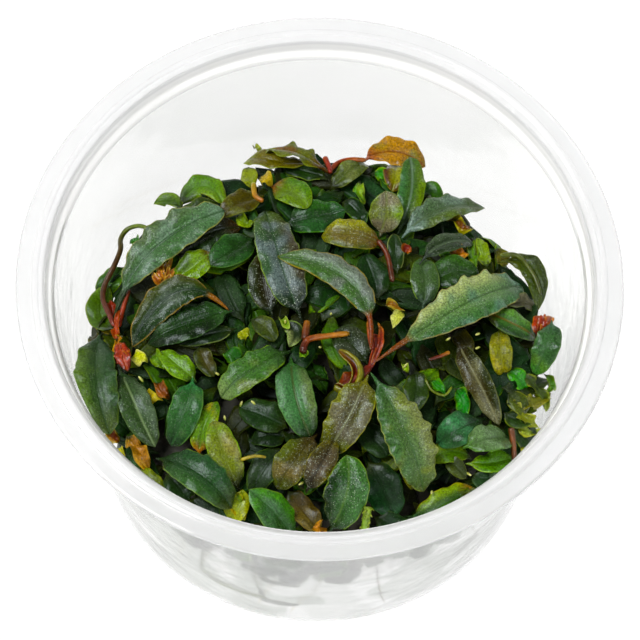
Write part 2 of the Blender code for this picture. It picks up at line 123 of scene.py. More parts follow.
# The large leaves: their midrib's base, middle and tip in plan, width, the share of the length
# that is stalk, roll in degrees, how deeply the margin waves, form and colours
LEAVES = [Leaf(*row) for row in (
    ("middle_leaf_1", (-26, 7), (-20.5, 11), (-13.5, 13.5), 7.0, 0.12, 0, 0.3, "lance",
     look("22301C", heel="2F2014", tip="3A2A16", right="2E4D38", rim="5A4A2A")),
    ("rear_leaf_1", (-6.5, 13.5), (-1.5, 15), (4, 16.5), 6.5, 0.1, 0, 0.3, "oval",
     look("2A4E38", heel="1F3A28", left="3C7034", rim="5B9A34", patch="38684C", spread=0.4)),
    ("rear_leaf_2", (-9, 21.5), (-5.3, 20.3), (-2.5, 16.8), 5.6, 0.08, 0, 0.2, "round",
     look("6F8F16", heel="8A5A1A", left="5C8A18", rim="8AA828")),
    ("rear_leaf_3", (-9.8, 19.5), (-13.5, 18.3), (-17.5, 15.5), 4.6, 0.1, 0, 0.3, "lance",
     look("55521E", heel="6A6A28", tip="4A3A20", rim="7A8428", patch="6C7440", spread=0.4)),
    ("rear_leaf_4", (-1, 26.5), (-8, 27.6), (-14.1, 28.6), 4.4, 0.1, 20, 0.3, "spoon",
     look("6F6A1A", tip="8CA010", heel="4A4018", rim="98A820")),
    ("rear_leaf_5", (1.5, 24.5), (-4.8, 29.3), (-11, 31), 5.0, 0.1, 35, 0.6, "lance",
     look("6A741C", heel="6A4A28", tip="7A8A14", patch="7A4414", spread=0.3, rim="8A9A24")),
    ("rear_leaf_6", (1.2, 20.5), (4.3, 25), (8, 28), 3.8, 0.1, 0, 0.3, "oval",
     look("55682E", heel="2F3A1C", tip="6A7A34", patch="7E8A66", spread=0.4, rim="7A8A30")),
    ("rear_leaf_7", (12.3, 29), (12.6, 25.5), (12, 21.8), 4.4, 0.08, 0, 0.2, "oval",
     look("9AA014", left="A8B01A", right="5A2A10", tip="6A4A14", rim="A8A820")),
    ("rear_leaf_8", (7, 28), (12, 31.5), (18, 28.8), 5.6, 0.06, 0, 0.4, "spoon",
     look("BC8A16", heel="A8500C", tip="94700E", patch="8C8E1A", spread=0.45, rim="E0B020",
          rib="8A480C")),
    ("rear_leaf_9", (12.7, 12), (15.2, 21), (15, 30), 4.6, 0.12, 0, 0.3, "strap",
     look("4A6E40", heel="38563A", left="4A7A5C", right="6C8A22", rim="7A9A3A", rib="7C97A2")),
    ("rear_leaf_10", (9.8, 11.5), (10.9, 16.5), (10.8, 21.4), 5.8, 0.1, 0, 0.3, "oval",
     look("74804E", heel="6E6A66", tip="6A8428", right="7A9A20", patch="8E8496", spread=0.5,
          rim="8AAA2C")),
    ("right_leaf_1", (17.8, 1.5), (21.8, 5.5), (27, 5), 6.0, 0.1, 0, 0.2, "oval",
     look("345634", tip="2F5030", left="3E6834", rim="5E8A2E")),
    ("middle_leaf_3", (17.2, -2.5), (17.6, 3.4), (16.6, 8.2), 5.0, 0.12, 0, 0.2, "oval",
     look("4A6850", heel="445E66", tip="4F7448", patch="4C6674", spread=0.4, rim="7A9A50")),
    ("right_leaf_2", (16.5, 6.5), (21, 11.3), (26, 11.8), 3.8, 0.12, 0, 0.2, "lance",
     look("34484A", heel="2A3A42", left="4A5E62", rib="6A7E80", rim="55705A")),
    # its pale blue heel is painted sheen
    ("rear_leaf_11", (13.5, 11.5), (20, 18.2), (28, 20.6), 5.2, 0.08, 0, 0.4, "lance",
     look("56706A", heel="7C96B4", tip="48583A", right="5E7442", patch="7890A4", spread=0.4,
          rim="6A7A44", rib="5E746A")),
    ("rear_leaf_12", (11.2, 9.9), (5.2, 11.9), (-0.3, 11.7), 5.6, 0.1, 0, 0.2, "oval",
     look("727038", heel="7A5A26", tip="8E901C", right="A0A422", left="566828", patch="7C7048",
          spread=0.4, rim="A8A824")),
    ("right_leaf_3", (30, 9), (36, 9.6), (37, 1.4), 4.2, 0.1, 0, 0.3, "lance",
     look("44581E", heel="5E6A26", tip="4E6048", left="34441A", rim="6A7A30")),
    ("middle_leaf_4", (-17.8, 8.5), (-21, 5.8), (-24.5, 2.8), 5.0, 0.1, 0, 0.3, "oval",
     look("7AA018", heel="6A5A1A", patch="3A5A18", spread=0.4, rim="9AC024")),
    ("middle_leaf_5", (-11, 11), (-14.6, 8.6), (-18.5, 5.5), 6.0, 0.1, 0, 0.2, "oval",
     look("284A30", heel="24402A", patch="3E6C4C", spread=0.5, left="244628", rim="5A8A3E")),
    ("middle_leaf_6", (-7.6, -4.2), (-9.4, 1.8), (-9.6, 8), 5.4, 0.1, 0, 0.2, "oval",
     look("2C2C22", heel="1A2A1C", tip="4A4438", left="2A3A24", patch="5A5458", spread=0.3,
          rim="5C7A3C")),
    # its bluish right half is painted sheen
    ("middle_leaf_7", (-2.6, -5.2), (-6.6, 6), (-9.6, 17.4), 7.2, 0.1, 0, 0.3, "strap",
     look("3A5658", heel="1E3030", tip="587234", left="426458", right="525060", patch="7484B0",
          spread=0.5, rim="8CA84C", rib="385A54")),
    ("front_leaf_1", (8.3, -12.5), (5.8, -9), (2.4, -6.2), 6.0, 0.1, 0, 0.2, "oval",
     look("2C3E30", right="3E4A54", patch="4A5666", spread=0.5, rim="4A6244")),
    # its bluish grey right half is painted sheen
    ("middle_leaf_8", (8.6, -10), (5.4, 2.3), (-7.6, 7.6), 5.4, 0.22, 0, 0.4, "oval",
     look("527652", heel="8A3E1A", left="4A7246", right="727E92", tip="56784A", patch="7880A0",
          spread=0.25, rim="A2902E", rib="426A40")),
    ("left_leaf_1", (-14.3, -3), (-21.4, -5.2), (-28.6, -8.4), 6.6, 0.08, 0, 0.3, "oval",
     look("24442C", heel="40684A", tip="1E3424", left="182C1C", patch="3E6048", spread=0.25,
          rim="466A44")),
    ("left_leaf_2", (-33.3, -11.5), (-30, -19), (-26.3, -26.3), 5.6, 0.1, 0, 0.2, "oval",
     look("3E5A4A", heel="2E5030", tip="4C625A", left="5C7272", rim="56704A", rib="8CA496")),
    ("left_leaf_3", (-36.5, -4.5), (-37, -13), (-34, -23), 7.0, 0.08, 0, 0.4, "strap",
     look("3A5848", heel="3A525C", tip="4A5E3C", right="56723A", left="3C5C58", patch="5E7A34",
          spread=0.25, rim="6E8A4A", rib="2C4A36")),
    ("left_leaf_4", (-34.5, -3.5), (-28.6, 9.2), (-16.4, 16.6), 7.4, 0.18, 0, 0.6, "broad",
     look("4C7458", heel="3A4E50", tip="648A7C", left="5A7260", patch="74909C", spread=0.4,
          rim="A8A86C", rib="365C44")),
    ("left_leaf_5", (-15, -3), (-23.8, 0.6), (-31, -9), 5.8, 0.16, 0, 0.4, "drop",
     look("2C4A32", heel="9A6418", tip="20382A", right="4A5626", patch="5E6E80", spread=0.25,
          rim="A88A54", rib="1E3826")),
    ("left_leaf_6", (-19.8, -16), (-22.7, -13.2), (-26.3, -10), 4.2, 0.1, 0, 0.4, "oval",
     look("6E9A30", heel="4A6A30", tip="7AA63A", rim="A0C850")),
    ("left_leaf_7", (-19, -28.6), (-18.4, -24), (-16.3, -19), 4.2, 0.1, 0, 0.2, "oval",
     look("6C981C", heel="B07226", tip="4A7A26", patch="B0A62C", spread=0.3, rim="90B030")),
    ("left_leaf_8", (-20.5, -15), (-21.4, -20.3), (-23.5, -26.3), 5.4, 0.1, 0, 0.2, "strap",
     look("3A6A48", heel="3C8258", tip="1C3A22", patch="608060", spread=0.3, rim="6A9A5A")),
    ("front_leaf_2", (-4.4, -11.2), (-3.6, -18), (-1, -25.3), 6.2, 0.08, 0, 0.2, "strap",
     look("4E8262", heel="3E6E3E", tip="2C4A38", right="5A8870", left="6A8262", rim="6A9464",
          rib="4E5E3C")),
    ("front_leaf_3", (-4.3, -10.2), (-10.4, -13.4), (-16, -18.8), 6.0, 0.1, 0, 0.3, "strap",
     look("4C7846", heel="34543A", tip="90AC8A", patch="7C8E5E", spread=0.3, rim="86AE3A",
          rib="3C6238")),
    ("front_leaf_4", (0.3, -24.8), (-3.2, -29), (-6.2, -34), 6.0, 0.1, 0, 0.3, "oval",
     look("56562A", heel="4A4034", tip="566614", right="5C6C28", patch="7A6E54", spread=0.4,
          rim="7E8A30", rib="4A4A1E")),
    ("front_leaf_5", (-2.5, -41), (-6, -38), (-10.3, -33.8), 6.4, 0.1, 0, 0.2, "oval",
     look("3E6A48", heel="34583A", tip="5A9A2C", right="4E8A30", patch="507A66", spread=0.4,
          rim="7AA040")),
    ("front_leaf_6", (-12, -34.3), (-14.8, -28.3), (-16.8, -22.3), 5.3, 0.08, 0, 0.2, "oval",
     look("7A8A3C", heel="303C24", tip="7CA81A", patch="928E60", spread=0.4, rim="90BC28")),
    ("front_leaf_7", (-26.3, -28), (-19, -31), (-13.2, -36.8), 6.8, 0.08, 0, 0.3, "oval",
     look("305844", heel="223C26", tip="44563A", left="345C50", right="3C6442", rim="7C9A54",
          rib="284C3A")),
    ("front_leaf_8", (8.4, -14), (5.7, -20.8), (2.2, -27.8), 7.0, 0.1, 0, 0.3, "strap",
     look("4C4A34", heel="7A7A24", tip="4E561C", left="66721A", right="767C1E", patch="706C7A",
          spread=0.4, rim="A4A436", rib="8A9088")),
    ("front_leaf_9", (-1.5, -34.5), (0.8, -30), (2.8, -26.2), 4.6, 0.1, 0, 0.2, "round",
     look("443C42", heel="262414", tip="66641C", left="4E4C24", right="5C5A20", patch="5E5662",
          spread=0.4, rim="8A8620", rib="2E2A2A")),
    ("front_leaf_10", (2.2, -40.5), (5.2, -34.3), (5, -28.2), 7.2, 0.08, 0, 0.3, "oval",
     look("3A6440", heel="1E3A22", tip="4A7A34", left="1E3A24", right="487450", patch="5E8070",
          spread=0.25, rim="8AA84C", rib="5C8048")),
    ("right_leaf_4", (28, -20), (23.8, -22.3), (19.8, -25.3), 5.8, 0.1, 0, 0.2, "oval",
     look("30584A", heel="1C3426", tip="44785C", right="386A5A", patch="4E8C74", spread=0.4,
          rim="4E7258")),
    ("right_leaf_5", (24.5, -27.8), (28.8, -27), (33.5, -25), 4.0, 0.1, 0, 0.4, "spoon",
     look("56860F", heel="7A9A40", tip="648A1A", rim="94BC34")),
    ("right_leaf_6", (24, -25.5), (28.3, -23.4), (32.8, -22), 5.4, 0.1, 0, 0.2, "oval",
     look("54745A", heel="4E7A2C", tip="3E5A42", patch="7A9A86", spread=0.45, rim="5E8A3C")),
    ("front_leaf_11", (15.5, -38), (21.3, -34.3), (27, -31), 5.0, 0.08, 0, 0.3, "oval",
     look("385A30", heel="3C6038", tip="B87A22", left="82A01C", rim="A8A02A", patch="5A8A18",
          spread=0.3)),
    ("front_leaf_12", (8.6, -13.6), (14.2, -23), (18, -33.3), 7.8, 0.1, 0, 0.6, "spoon",
     look("5C7C5A", heel="3E6A4C", tip="5C7650", left="84906E", right="4C7452", patch="84924C",
          spread=0.25, rim="A2AC6C", rib="4A7050")),
    ("right_leaf_7", (30.2, -3.5), (30.4, -8), (31, -12.5), 3.8, 0.08, 0, 0.2, "strap",
     look("868A20", heel="5A6A1A", tip="5E6A1C", patch="B4AC3C", spread=0.35, rim="9AA030")),
    ("right_leaf_8", (22.5, -6.5), (26.3, -13.3), (30.2, -20.6), 4.5, 0.1, 25, 0.3, "oval",
     look("3E3A2A", heel="2E2A16", tip="3A4434", left="344018", right="504C3C", patch="7C7C74",
          spread=0.3, rim="6E7650", rib="8E8E88")),
    ("right_leaf_9", (27.5, -1.5), (32, -2.3), (36.6, -4.2), 4.4, 0.1, 0, 0.2, "oval",
     look("4A7A44", heel="6A6A34", left="62904E", right="2C4E34", rim="6C8A44", rib="80663A")),
    # its pale left half is a painted highlight, the half the light falls on
    ("right_leaf_10", (9.2, -12), (23, -1.2), (34.8, 6.2), 8.0, 0.17, 0, 0.6, "spoon",
     look("729872", heel="8A4A24", tip="3E6A60", left="B8C8AA", right="4E7A5A", patch="68909C",
          spread=0.4, rim="A89C74", rib="46664C")),
    ("right_leaf_11", (39.4, 0.6), (38.6, -4.6), (36, -10.8), 4.5, 0.08, 0, 0.3, "strap",
     look("446E52", heel="4C6A74", tip="4E8A44", left="3A5E4C", patch="648A4A", spread=0.35,
          rim="62845C")),
)]


def by_name(groups):
    """The key of each name, from groups that hold their names as one string."""
    return {name: key for key, names in groups.items() for name in names.split()}


# How thickly pale speckles lie on the most speckled blades, on all others and on stems
SPECKLE_OF = by_name({
    1.0: "middle_leaf_7 front_leaf_8 rear_leaf_10",
    0.9: "middle_leaf_6 middle_leaf_8 front_leaf_9",
    0.85: "right_leaf_10",
    0.8: "rear_leaf_12 front_leaf_4 front_leaf_10",
    0.7: "front_leaf_1 right_leaf_8",
    0.6: "left_leaf_4 left_leaf_5 front_leaf_12 right_leaf_2 right_leaf_6",
    0.5: "rear_leaf_11 left_leaf_2 front_leaf_3 front_leaf_6",
})
PLAIN_SPECKLE = 0.28
STEM_SPECKLE = 0.4

Stalk = namedtuple("Stalk", "name route radii colours")

# Stems, buds and sheaths that stand out: points in plan, radii at start, middle and end, and
# colours from start to end. Each lies as high as its solid.
STALKS = (
    Stalk("arching_stalk", ((-29.6, 14.5), (-31.4, 15.5), (-33.3, 15.3), (-34.3, 13.4),
                            (-34.2, 10.8), (-35.2, 7.3), (-36.4, 4.3), (-36.6, 1.4), (-35.4, -1.6),
                            (-34.2, -4.6)), (0.34, 0.46, 0.42),
          ("7A9024", "6E8420", "66781E", "5A5E1C", "5A4A20", "56381C", "50301A", "5A2C1A",
           "6A2418", "8A1E10")),
    Stalk("scaly_bud", ((-26.6, 3), (-26.2, 6), (-25.4, 9.6)), (0.7, 1.5, 0.3),
          ("A8601A", "B8761E", "D8B070")),
    Stalk("cut_stem", ((5.0, -6.7), (1.5, -7.3), (-1.4, -7.9), (-2.3, -9.0), (-2.5, -10.6)),
          (0.44, 0.52, 0.62), ("C8902C", "C07820", "A8561A", "7A2E12", "4A1A0C")),
    # the red stem's pale peach top end is a painted highlight
    Stalk("red_stem", ((8.4, -13.6), (9.0, -10.9), (9.9, -8.5), (10.4, -6.6), (9.8, -4.5)),
          (0.34, 0.66, 0.34), ("6A1408", "9A1A08", "B02E10", "C04A20", "D89A68")),
    Stalk("red_sheath", ((-33.3, -7.6), (-32.4, -10.4), (-31.5, -12.8)), (0.5, 1.2, 0.3),
          ("B8741C", "A01808", "8A1206")),
    Stalk("rolled_leaf", ((3.4, -9.8), (6.0, -12), (6.6, -14.6), (5.2, -17.2), (2.8, -16.2)),
          (0.5, 0.9, 0.6), ("C8A828", "A89A3A", "7E8A30", "7A7A30", "9A8A50")),
    Stalk("fringed_stalk", ((8.8, -36), (8.4, -38.4), (8.0, -40.6)), (0.7, 0.6, 0.6),
          ("8AA02A", "7EA01C", "84A81E")),
    Stalk("red_bud", ((37.0, -3.6), (37.4, -1.4), (38.3, 1.2)), (0.6, 1.4, 0.7),
          ("7A2A10", "B01A06", "C8601E")),
)


Small = namedtuple("Small", "base middle tip width lift form colours")

# Small leaves and frills of the lower growth: midrib points in plan, width, how high they start,
# their form, and the colours of the blade, its tip and its margin
SMALL_LEAVES = [Small(*row) for row in (
    ((0.5, -5), (2.5, 0.5), (5.5, 6), 7.6, -2.4, "oval", "1C3A26 24482E 4A6A3A"),
    ((9.8, -0.5), (8.9, 3.8), (7.2, 8.2), 5.6, -1.5, "oval", "1E3C28 24442C 4A6A3A"),
    ((12.9, 4.5), (12.6, 8.5), (12.3, 12.2), 3.0, -0.6, "oval", "24402C 2E4A30 9AAA7A"),
    ((1, 23), (-3, 25), (-8, 25.5), 3.6, -1.0, "lance", "1E3A22 2E5020 8AA828"),
    ((16, -12.8), (16.3, -16.5), (15.6, -20.5), 4.4, -1.2, "oval", "2A4420 3A5424 6A8030"),
    ((28.2, 7.5), (27.6, 10), (26.8, 12.8), 2.4, 1.0, "oval", "7A9A20 8CAA28 A0B83A"),
    ((-13.5, -6.3), (-18.5, -7.6), (-23.5, -9), 3.4, -1.5, "lance", "1E3624 2A4A30 8AA070"),
    ((-4.6, -33.8), (-1.8, -37), (0.8, -40), 4.2, -0.8, "strap", "4E4426 6A6030 8A7A4A"),
    ((37, 0.6), (34.4, 2.2), (31.5, 0.4), 3.0, 0.0, "oval", "55565A 6A6A70 7A8A60"),
    ((22.4, -15.6), (24.0, -17.6), (24, -21.4), 2.5, -0.2, "lance", "2F8A16 46A01C 8AC030"),
    ((-15.2, -39), (-12.6, -37), (-11.7, -33.8), 3.8, 0.0, "oval", "8AA020 A0AA28 B0B83A"),
    ((8.5, -29), (11, -33), (13, -37.5), 6.5, -1.6, "oval", "16301C 1E4A34 3A6A3A"),
    ((32.5, -19.5), (34.8, -21.5), (36.5, -24), 4.2, -0.8, "oval", "2C4034 34503E 8AA04A"),
    ((-4.5, -24), (-8.5, -22), (-12.8, -20.3), 5.8, -1.4, "oval", "22402A 2C4A2C 4A6A34"),
    ((-4.5, -25.5), (-7.5, -25.3), (-11, -26), 4.5, -1.8, "lance", "1A3020 22382A 4A6A3A"),
    ((-4.5, -27.5), (-8, -30.3), (-10, -35), 5.0, -1.4, "oval", "26402E 2C4434 5A7A3A"),
    ((25.6, -27), (22.3, -26.3), (18.8, -28), 4.2, -0.4, "spoon", "5A8418 7A9A20 9AB03A"),
    ((-24.5, 18), (-20.5, 22.5), (-16.8, 18.2), 4.5, -0.6, "round", "5E8A14 7AA01C A0B030"),
    ((-23.6, 17), (-26, 20.2), (-28.9, 19.9), 2.8, -0.6, "lance", "4A6A1A 6A8A1E 8AA030"),
    ((-12.8, 26.5), (-12.6, 24), (-12, 21.5), 3.0, -0.3, "oval", "8A9A14 9AAA18 A8B030"),
    ((-10.8, 23.6), (-9.8, 23.4), (-8.8, 22.2), 2.2, 1.6, "round", "C8B020 D8C038 D8C860"),
    ((-15.2, 16.4), (-13.2, 14), (-11.5, 14), 2.0, -0.6, "lance", "7A9A20 9ABA30 B0C850"),
    ((8.2, 25), (10.4, 24.6), (11, 22), 2.2, 0.6, "round", "4AA014 6AB41C 9AC83A"),
    ((6.5, 23.4), (6.2, 21), (7.6, 18.8), 2.0, 0.4, "lance", "8AB040 58A018 B8D070"),
    ((3.2, 18.4), (5.6, 17), (7.2, 13.8), 3.6, -0.8, "oval", "1C3A22 2A4A2A 6A9A34"),
    ((17, 20.5), (18.6, 22.4), (20.6, 20.8), 3.4, -0.8, "oval", "3A6A1E 4A7A24 7AA038"),
    ((20.6, 18), (22.6, 17.2), (24.6, 14.6), 2.4, 0.2, "lance", "8A8A20 6A5A18 A8A830"),
    ((22.4, 16.8), (24.2, 15.2), (25.6, 15.4), 1.8, 0.8, "round", "7A4A1A A8A030 B0B040"),
    ((21.8, 10.4), (23.4, 9.6), (24.8, 10.2), 2.4, 0.0, "round", "B8702A C8883A C8A050"),
    ((19.6, 9.4), (21.0, 9.0), (22.4, 8.0), 2.0, 0.2, "lance", "5A9A24 7AB030 9AC050"),
    ((29.4, 11.6), (30.6, 10.4), (31.4, 8.6), 2.8, 0.2, "round", "6A6A24 7A7A28 8A9A38"),
    ((25.2, 12.6), (25.6, 10), (26.4, 7.8), 1.8, 0.4, "lance", "6A9A1E 4A7A18 9ABA40"),
    ((-32.6, 11.6), (-31.8, 12.4), (-30.8, 11.4), 1.6, -0.2, "lance", "3A7A18 4A8A20 7AAA30"),
    ((-31.8, 10.2), (-31, 8.4), (-31.4, 6), 3.4, -1.0, "oval", "2A5A1E 3A6A22 6A9A2A"),
    ((-37.4, 1.6), (-35.6, 4.4), (-33.4, 6.8), 4.0, -1.6, "oval", "3A6418 4E7A1C 8AA828"),
    ((-33.9, -5.2), (-36.8, -1.3), (-35.8, 3.9), 5.0, -0.8, "oval", "4A6A18 5E7E1A 8AA020"),
    ((-34.2, -6.2), (-36.2, -3.8), (-38.2, -0.8), 2.8, 0.2, "lance", "B8AC24 C8B828 E0D050"),
    ((-38.6, -5), (-37.2, -6.6), (-35.5, -6.6), 2.4, -0.6, "lance", "3A3A18 5A5A1E 7A7A28"),
    # painted light: this leaf's near-white yellow stands for light shining through it
    ((-31.0, -10.6), (-29.6, -11), (-28.0, -11.6), 2.2, -0.2, "lance", "E0E848 F4F890 F8F8C0"),
    ((-28.0, -10.8), (-26.6, -11.6), (-25.4, -13.4), 2.2, -0.6, "lance", "5A8A18 7AA01C A0C030"),
    ((-26.3, -15.5), (-25.6, -17), (-24.1, -18.4), 2.0, -0.2, "strap", "8A4A18 A05A20 A87838"),
    ((-28.6, -16.6), (-28, -17.8), (-26.9, -18.6), 1.8, 0.0, "round", "C0B028 A8A020 D0C850"),
    ((-19.7, -9.5), (-18.8, -12), (-17, -15), 3.2, -0.5, "strap", "4E4E2A 3A4A24 6A7A3A"),
    ((-6.5, -6), (-4, -6.6), (-4.8, -9.7), 3.0, 0.0, "oval", "26382A 9AA88A 9ABA7A"),
    ((-6.2, -4.4), (-5.6, -5.2), (-5.2, -6.2), 1.3, 0.4, "round", "8AB040 A8C860 C0D880"),
    ((-11.5, -4.6), (-8.9, -6), (-7.3, -8.6), 3.6, -0.2, "oval", "4E5E30 3E5228 7A8A40"),
    ((-13.2, -8.4), (-12.6, -7.4), (-11.2, -7.2), 1.6, 0.2, "lance", "B0B82A 98A820 C8CC60"),
    ((-15.4, -10.4), (-14.2, -11.2), (-12.4, -12.8), 2.6, -0.4, "oval", "2F6A24 3F7A28 6AA038"),
    ((10.6, -1.4), (12.4, -1.3), (14.2, -2.4), 1.2, 0.0, "lance", "9A6A14 A87C1C D8D070"),
    ((13.9, -2.0), (13.0, -3.4), (12.3, -5.6), 2.4, -0.2, "wedge", "D8E080 E8F0B0 F0F4C8"),
    ((14.0, -11.8), (14.5, -12.6), (14.6, -13.6), 1.2, 0.2, "round", "A8D040 C0E060 D0E890"),
    ((22.3, -5.5), (24, -7), (25.5, -9), 3.2, -0.6, "oval", "3A3A1A 4A4A1E 6A6A2A"),
    ((31.5, -11), (33.4, -12.2), (35, -14), 3.2, 0.0, "round", "2F7A18 4A9A20 8AC040"),
    ((37.6, -10), (39.4, -11.4), (38.2, -13.2), 1.4, 0.2, "strap", "4A7A1E 6A8A24 8AA83A"),
    ((31.5, -15.2), (33.4, -16.4), (35.2, -18), 3.6, 0.0, "strap", "44561A 5A6A20 A0AA44"),
    ((37, -13.2), (38.2, -14.6), (38.2, -16.4), 1.5, 0.3, "lance", "8AA04A A8B870 E0E8C0"),
    ((18.6, -14.6), (20, -15.6), (21.4, -17.4), 1.5, 0.0, "lance", "3A8A1E 4A9A24 7AC030"),
    ((26.0, -29.0), (27.4, -29.6), (29.4, -29.2), 3.6, -0.8, "oval", "1E3A2E 2A4A3A 4A6A3A"),
    ((21, -28), (23, -28.6), (25, -30), 3.0, -0.8, "oval", "3A4A1E 4A5A22 6A7A2A"),
    ((9.6, -37.4), (13, -38.4), (16.4, -38.8), 4.2, -1.0, "oval", "1C3A24 244A2A 4A6A34"),
    ((7, -23), (9.4, -25.4), (11.8, -28.2), 4.8, -1.6, "oval", "24402C 2C4A34 4A6A3A"),
    ((14.3, -28.3), (15.3, -30.6), (16.5, -33), 2.4, -0.6, "strap", "5A5E1E 6A6E24 8A8E34"),
    ((-31.4, -23.6), (-29.6, -26), (-27.4, -29.8), 2.6, 0.2, "lance", "A87414 B8881C C8A83A"),
    ((-33.6, -24.6), (-32.8, -26.2), (-31.2, -27.4), 2.2, 0.0, "round", "A8A81E B8B828 D0CC50"),
    ((-29.6, -29), (-27.4, -30.8), (-24.6, -32.8), 3.0, -0.4, "strap", "6A7A1E 7A8A28 9AAA38"),
    ((-34.8, -22), (-33.6, -23.4), (-32.4, -24.4), 1.8, 0.2, "round", "8A3A14 B88A20 D0C040"),
    ((-24.5, -30.6), (-22.4, -32.6), (-20.4, -34.8), 4.4, -0.8, "oval", "1E3424 24402C 4A6A3A"),
    ((-20.4, -34.6), (-18, -36.4), (-15.4, -38.2), 4.2, -0.8, "oval", "1E3424 2A4A2C 5A7A34"),
    ((32.4, -16), (34, -18.2), (37, -19.4), 2.2, 0.4, "lance", "7A8420 8A9430 D0D480"),
    ((33, -20.4), (35, -20.6), (37.6, -20), 1.8, 0.3, "lance", "748A1C 8A9A24 C8CC60"),
    ((33.8, -23.2), (34.8, -24), (35.6, -25.4), 1.4, 0.2, "lance", "949C24 B0B840 D8DC80"),
    ((30.8, -18.4), (33.2, -19.2), (36.0, -18.4), 3.4, 0.0, "lance", "223A1E 2E4A22 7A9038"),
    ((33.6, -11.8), (36.2, -12.6), (38.6, -15.4), 2.0, 0.5, "strap", "3A4E18 54681E 90A03A"),
    ((-0.4, -39.2), (0.8, -39.6), (2.2, -39.4), 1.9, 0.3, "strap", "C08018 C88A20 D0A040"),
    ((-9.8, -33.5), (-8.6, -35.4), (-6.6, -36.8), 3.2, -0.5, "oval", "3E5A20 5A7A22 8AA030"),
    ((-14.2, -33.4), (-12.8, -35.8), (-11.2, -38.4), 2.6, 0.2, "oval", "7A9A1A B0A020 C0B830"),
    ((-34.4, -5.4), (-34.5, -2.2), (-35.6, 1.6), 1.6, 1.4, "lance", "9A2A0C 8A1A08 A83A14"),
    ((-33.6, -7.6), (-34.0, -4.8), (-33.4, -1.6), 1.2, 1.6, "lance", "B8440F A8300C C86A28"),
    ((-32.6, -6.4), (-33.6, -7.6), (-34.2, -9.4), 1.6, 1.4, "lance", "D08A1C D8A428 E0C050"),
    ((6.8, -12.6), (5.6, -15.0), (2.8, -16.2), 3.0, -0.8, "oval", "7A2C0C 8A3A10 A08A30"),
    ((-10.4, 29.8), (-11.3, 31), (-11.9, 33.2), 1.5, 1.2, "lance", "8A9A14 A8B41C B8C038"),
    ((-31.0, -23.9), (-29.2, -26), (-27.1, -29.3), 2.0, 0.4, "strap", "9A6A10 A87818 C8A030"),
    ((-28.4, -17.7), (-27.2, -17.9), (-25.4, -18.6), 1.4, 0.4, "lance", "D0C030 B8A820 E0D860"),
    ((30.3, -14.4), (34.6, -13.4), (39.0, -10.2), 3.6, -0.4, "lance", "1E2E1E 2A3A20 5A6A34"),
    ((31.1, -16.9), (35.4, -15.9), (39.0, -13.2), 2.2, 0.2, "strap", "6A701A 7A7A20 A8A83A"),
    ((14.2, 8.6), (14.6, 9.6), (15.6, 10.2), 1.6, 0.2, "lance", "8A1E0C C05A1A C87A3A"),
    ((-2.4, -9.6), (-2.5, -10.4), (-1.9, -11.2), 1.4, 0.4, "round", "5A8A20 6AA02A 9AC050"),
    ((22, -10), (23, -12.4), (25.2, -13.8), 3.4, -0.8, "oval", "2A3A1C 34441E 5A6A2A"),
    ((13.8, 18.2), (14.4, 13.6), (13.4, 9.2), 3.0, -1.2, "strap", "3A5A24 2A4A22 6A8A34"),
    ((-24.2, 13.6), (-21.6, 16.6), (-17.6, 18.8), 4.2, -1.0, "lance", "3A5222 4A6228 7A8A30"),
    ((3.8, 20.6), (1.4, 19.2), (-1.4, 18.4), 3.6, -1.0, "oval", "2A4A26 3A5A28 6A8A34"),
)]

Twig = namedtuple("Twig", "route radii lift colours")

# Petioles and stem ends between the small leaves: points in plan, radii at start, middle and
# end, how far they stand off the rounded top, and colours from start to end
TWIGS = [Twig(*row) for row in (
    (((-11.8, 22.4), (-11.4, 19.6), (-10, 18.4)), (0.5, 0.45, 0.4), 1.8, "B8A828 C08A1C B87018"),
    (((9.6, 11), (11.2, 8.2), (12.2, 3)), (0.5, 0.45, 0.5), -0.6, "6A2A14 7A3418 5A2A14"),
    (((-1.9, -4.6), (-2.1, -6.2), (-2.2, -8.2)), (0.5, 0.62, 0.7), 0.1, "B87828 8A4A1C 5A2410"),
    (((8.6, -12.6), (7.3, -14.1), (5.4, -15.9), (3.7, -16.9)), (0.5, 0.9, 0.6), -0.6,
     "7A1A0A 8A2A10 7A2410 5A1A0A"),
    (((8.2, -4.3), (8.5, -7.1), (9.0, -9.6)), (0.3, 0.42, 0.36), 0.5, "C87A48 B04A20 8A1E0C"),
    (((21.8, -9.3), (20.2, -10.2), (18.2, -11.0)), (0.34, 0.3, 0.24), -0.4,
     "C88A50 8A3A1C 4A2414"),
    (((17.7, -14.3), (18.9, -16.4), (21.0, -17.0), (22.2, -15.4)), (0.2, 0.22, 0.2), 0.6,
     "7A8A34 6A7A2A 7A8A34 8A9A3A"),
    (((0.3, 28.6), (0.9, 26.8), (1.4, 24.8)), (0.5, 0.44, 0.36), 1.4, "B04A1C A8280C 8A1E0A"),
    (((1.2, 25.4), (2.6, 27.3), (4.8, 28.3), (7.6, 28.4)), (0.4, 0.42, 0.4), 0.9,
     "8A3410 B04A14 A8601C"),
    (((-12.2, -29.2), (-10, -28.6), (-8, -28.8)), (0.3, 0.28, 0.2), 0.4, "C0B030 B8A82A A89828"),
    (((32.2, -20.6), (32.6, -23), (32.9, -25.8)), (0.55, 0.5, 0.45), 0.4, "6A3A1E 7A4220 5A3218"),
    (((30.4, 10.6), (33.6, 11.6), (36.4, 8.4), (37.6, 4.6)), (0.4, 0.4, 0.35), 0.6,
     "6A7A24 5A6A1E 4A5A1C"),
    (((-32.0, 2.2), (-32.8, -0.8), (-33.6, -4.8)), (0.3, 0.4, 0.5), -0.4, "5A2A18 A03418 A82A10"),
)]
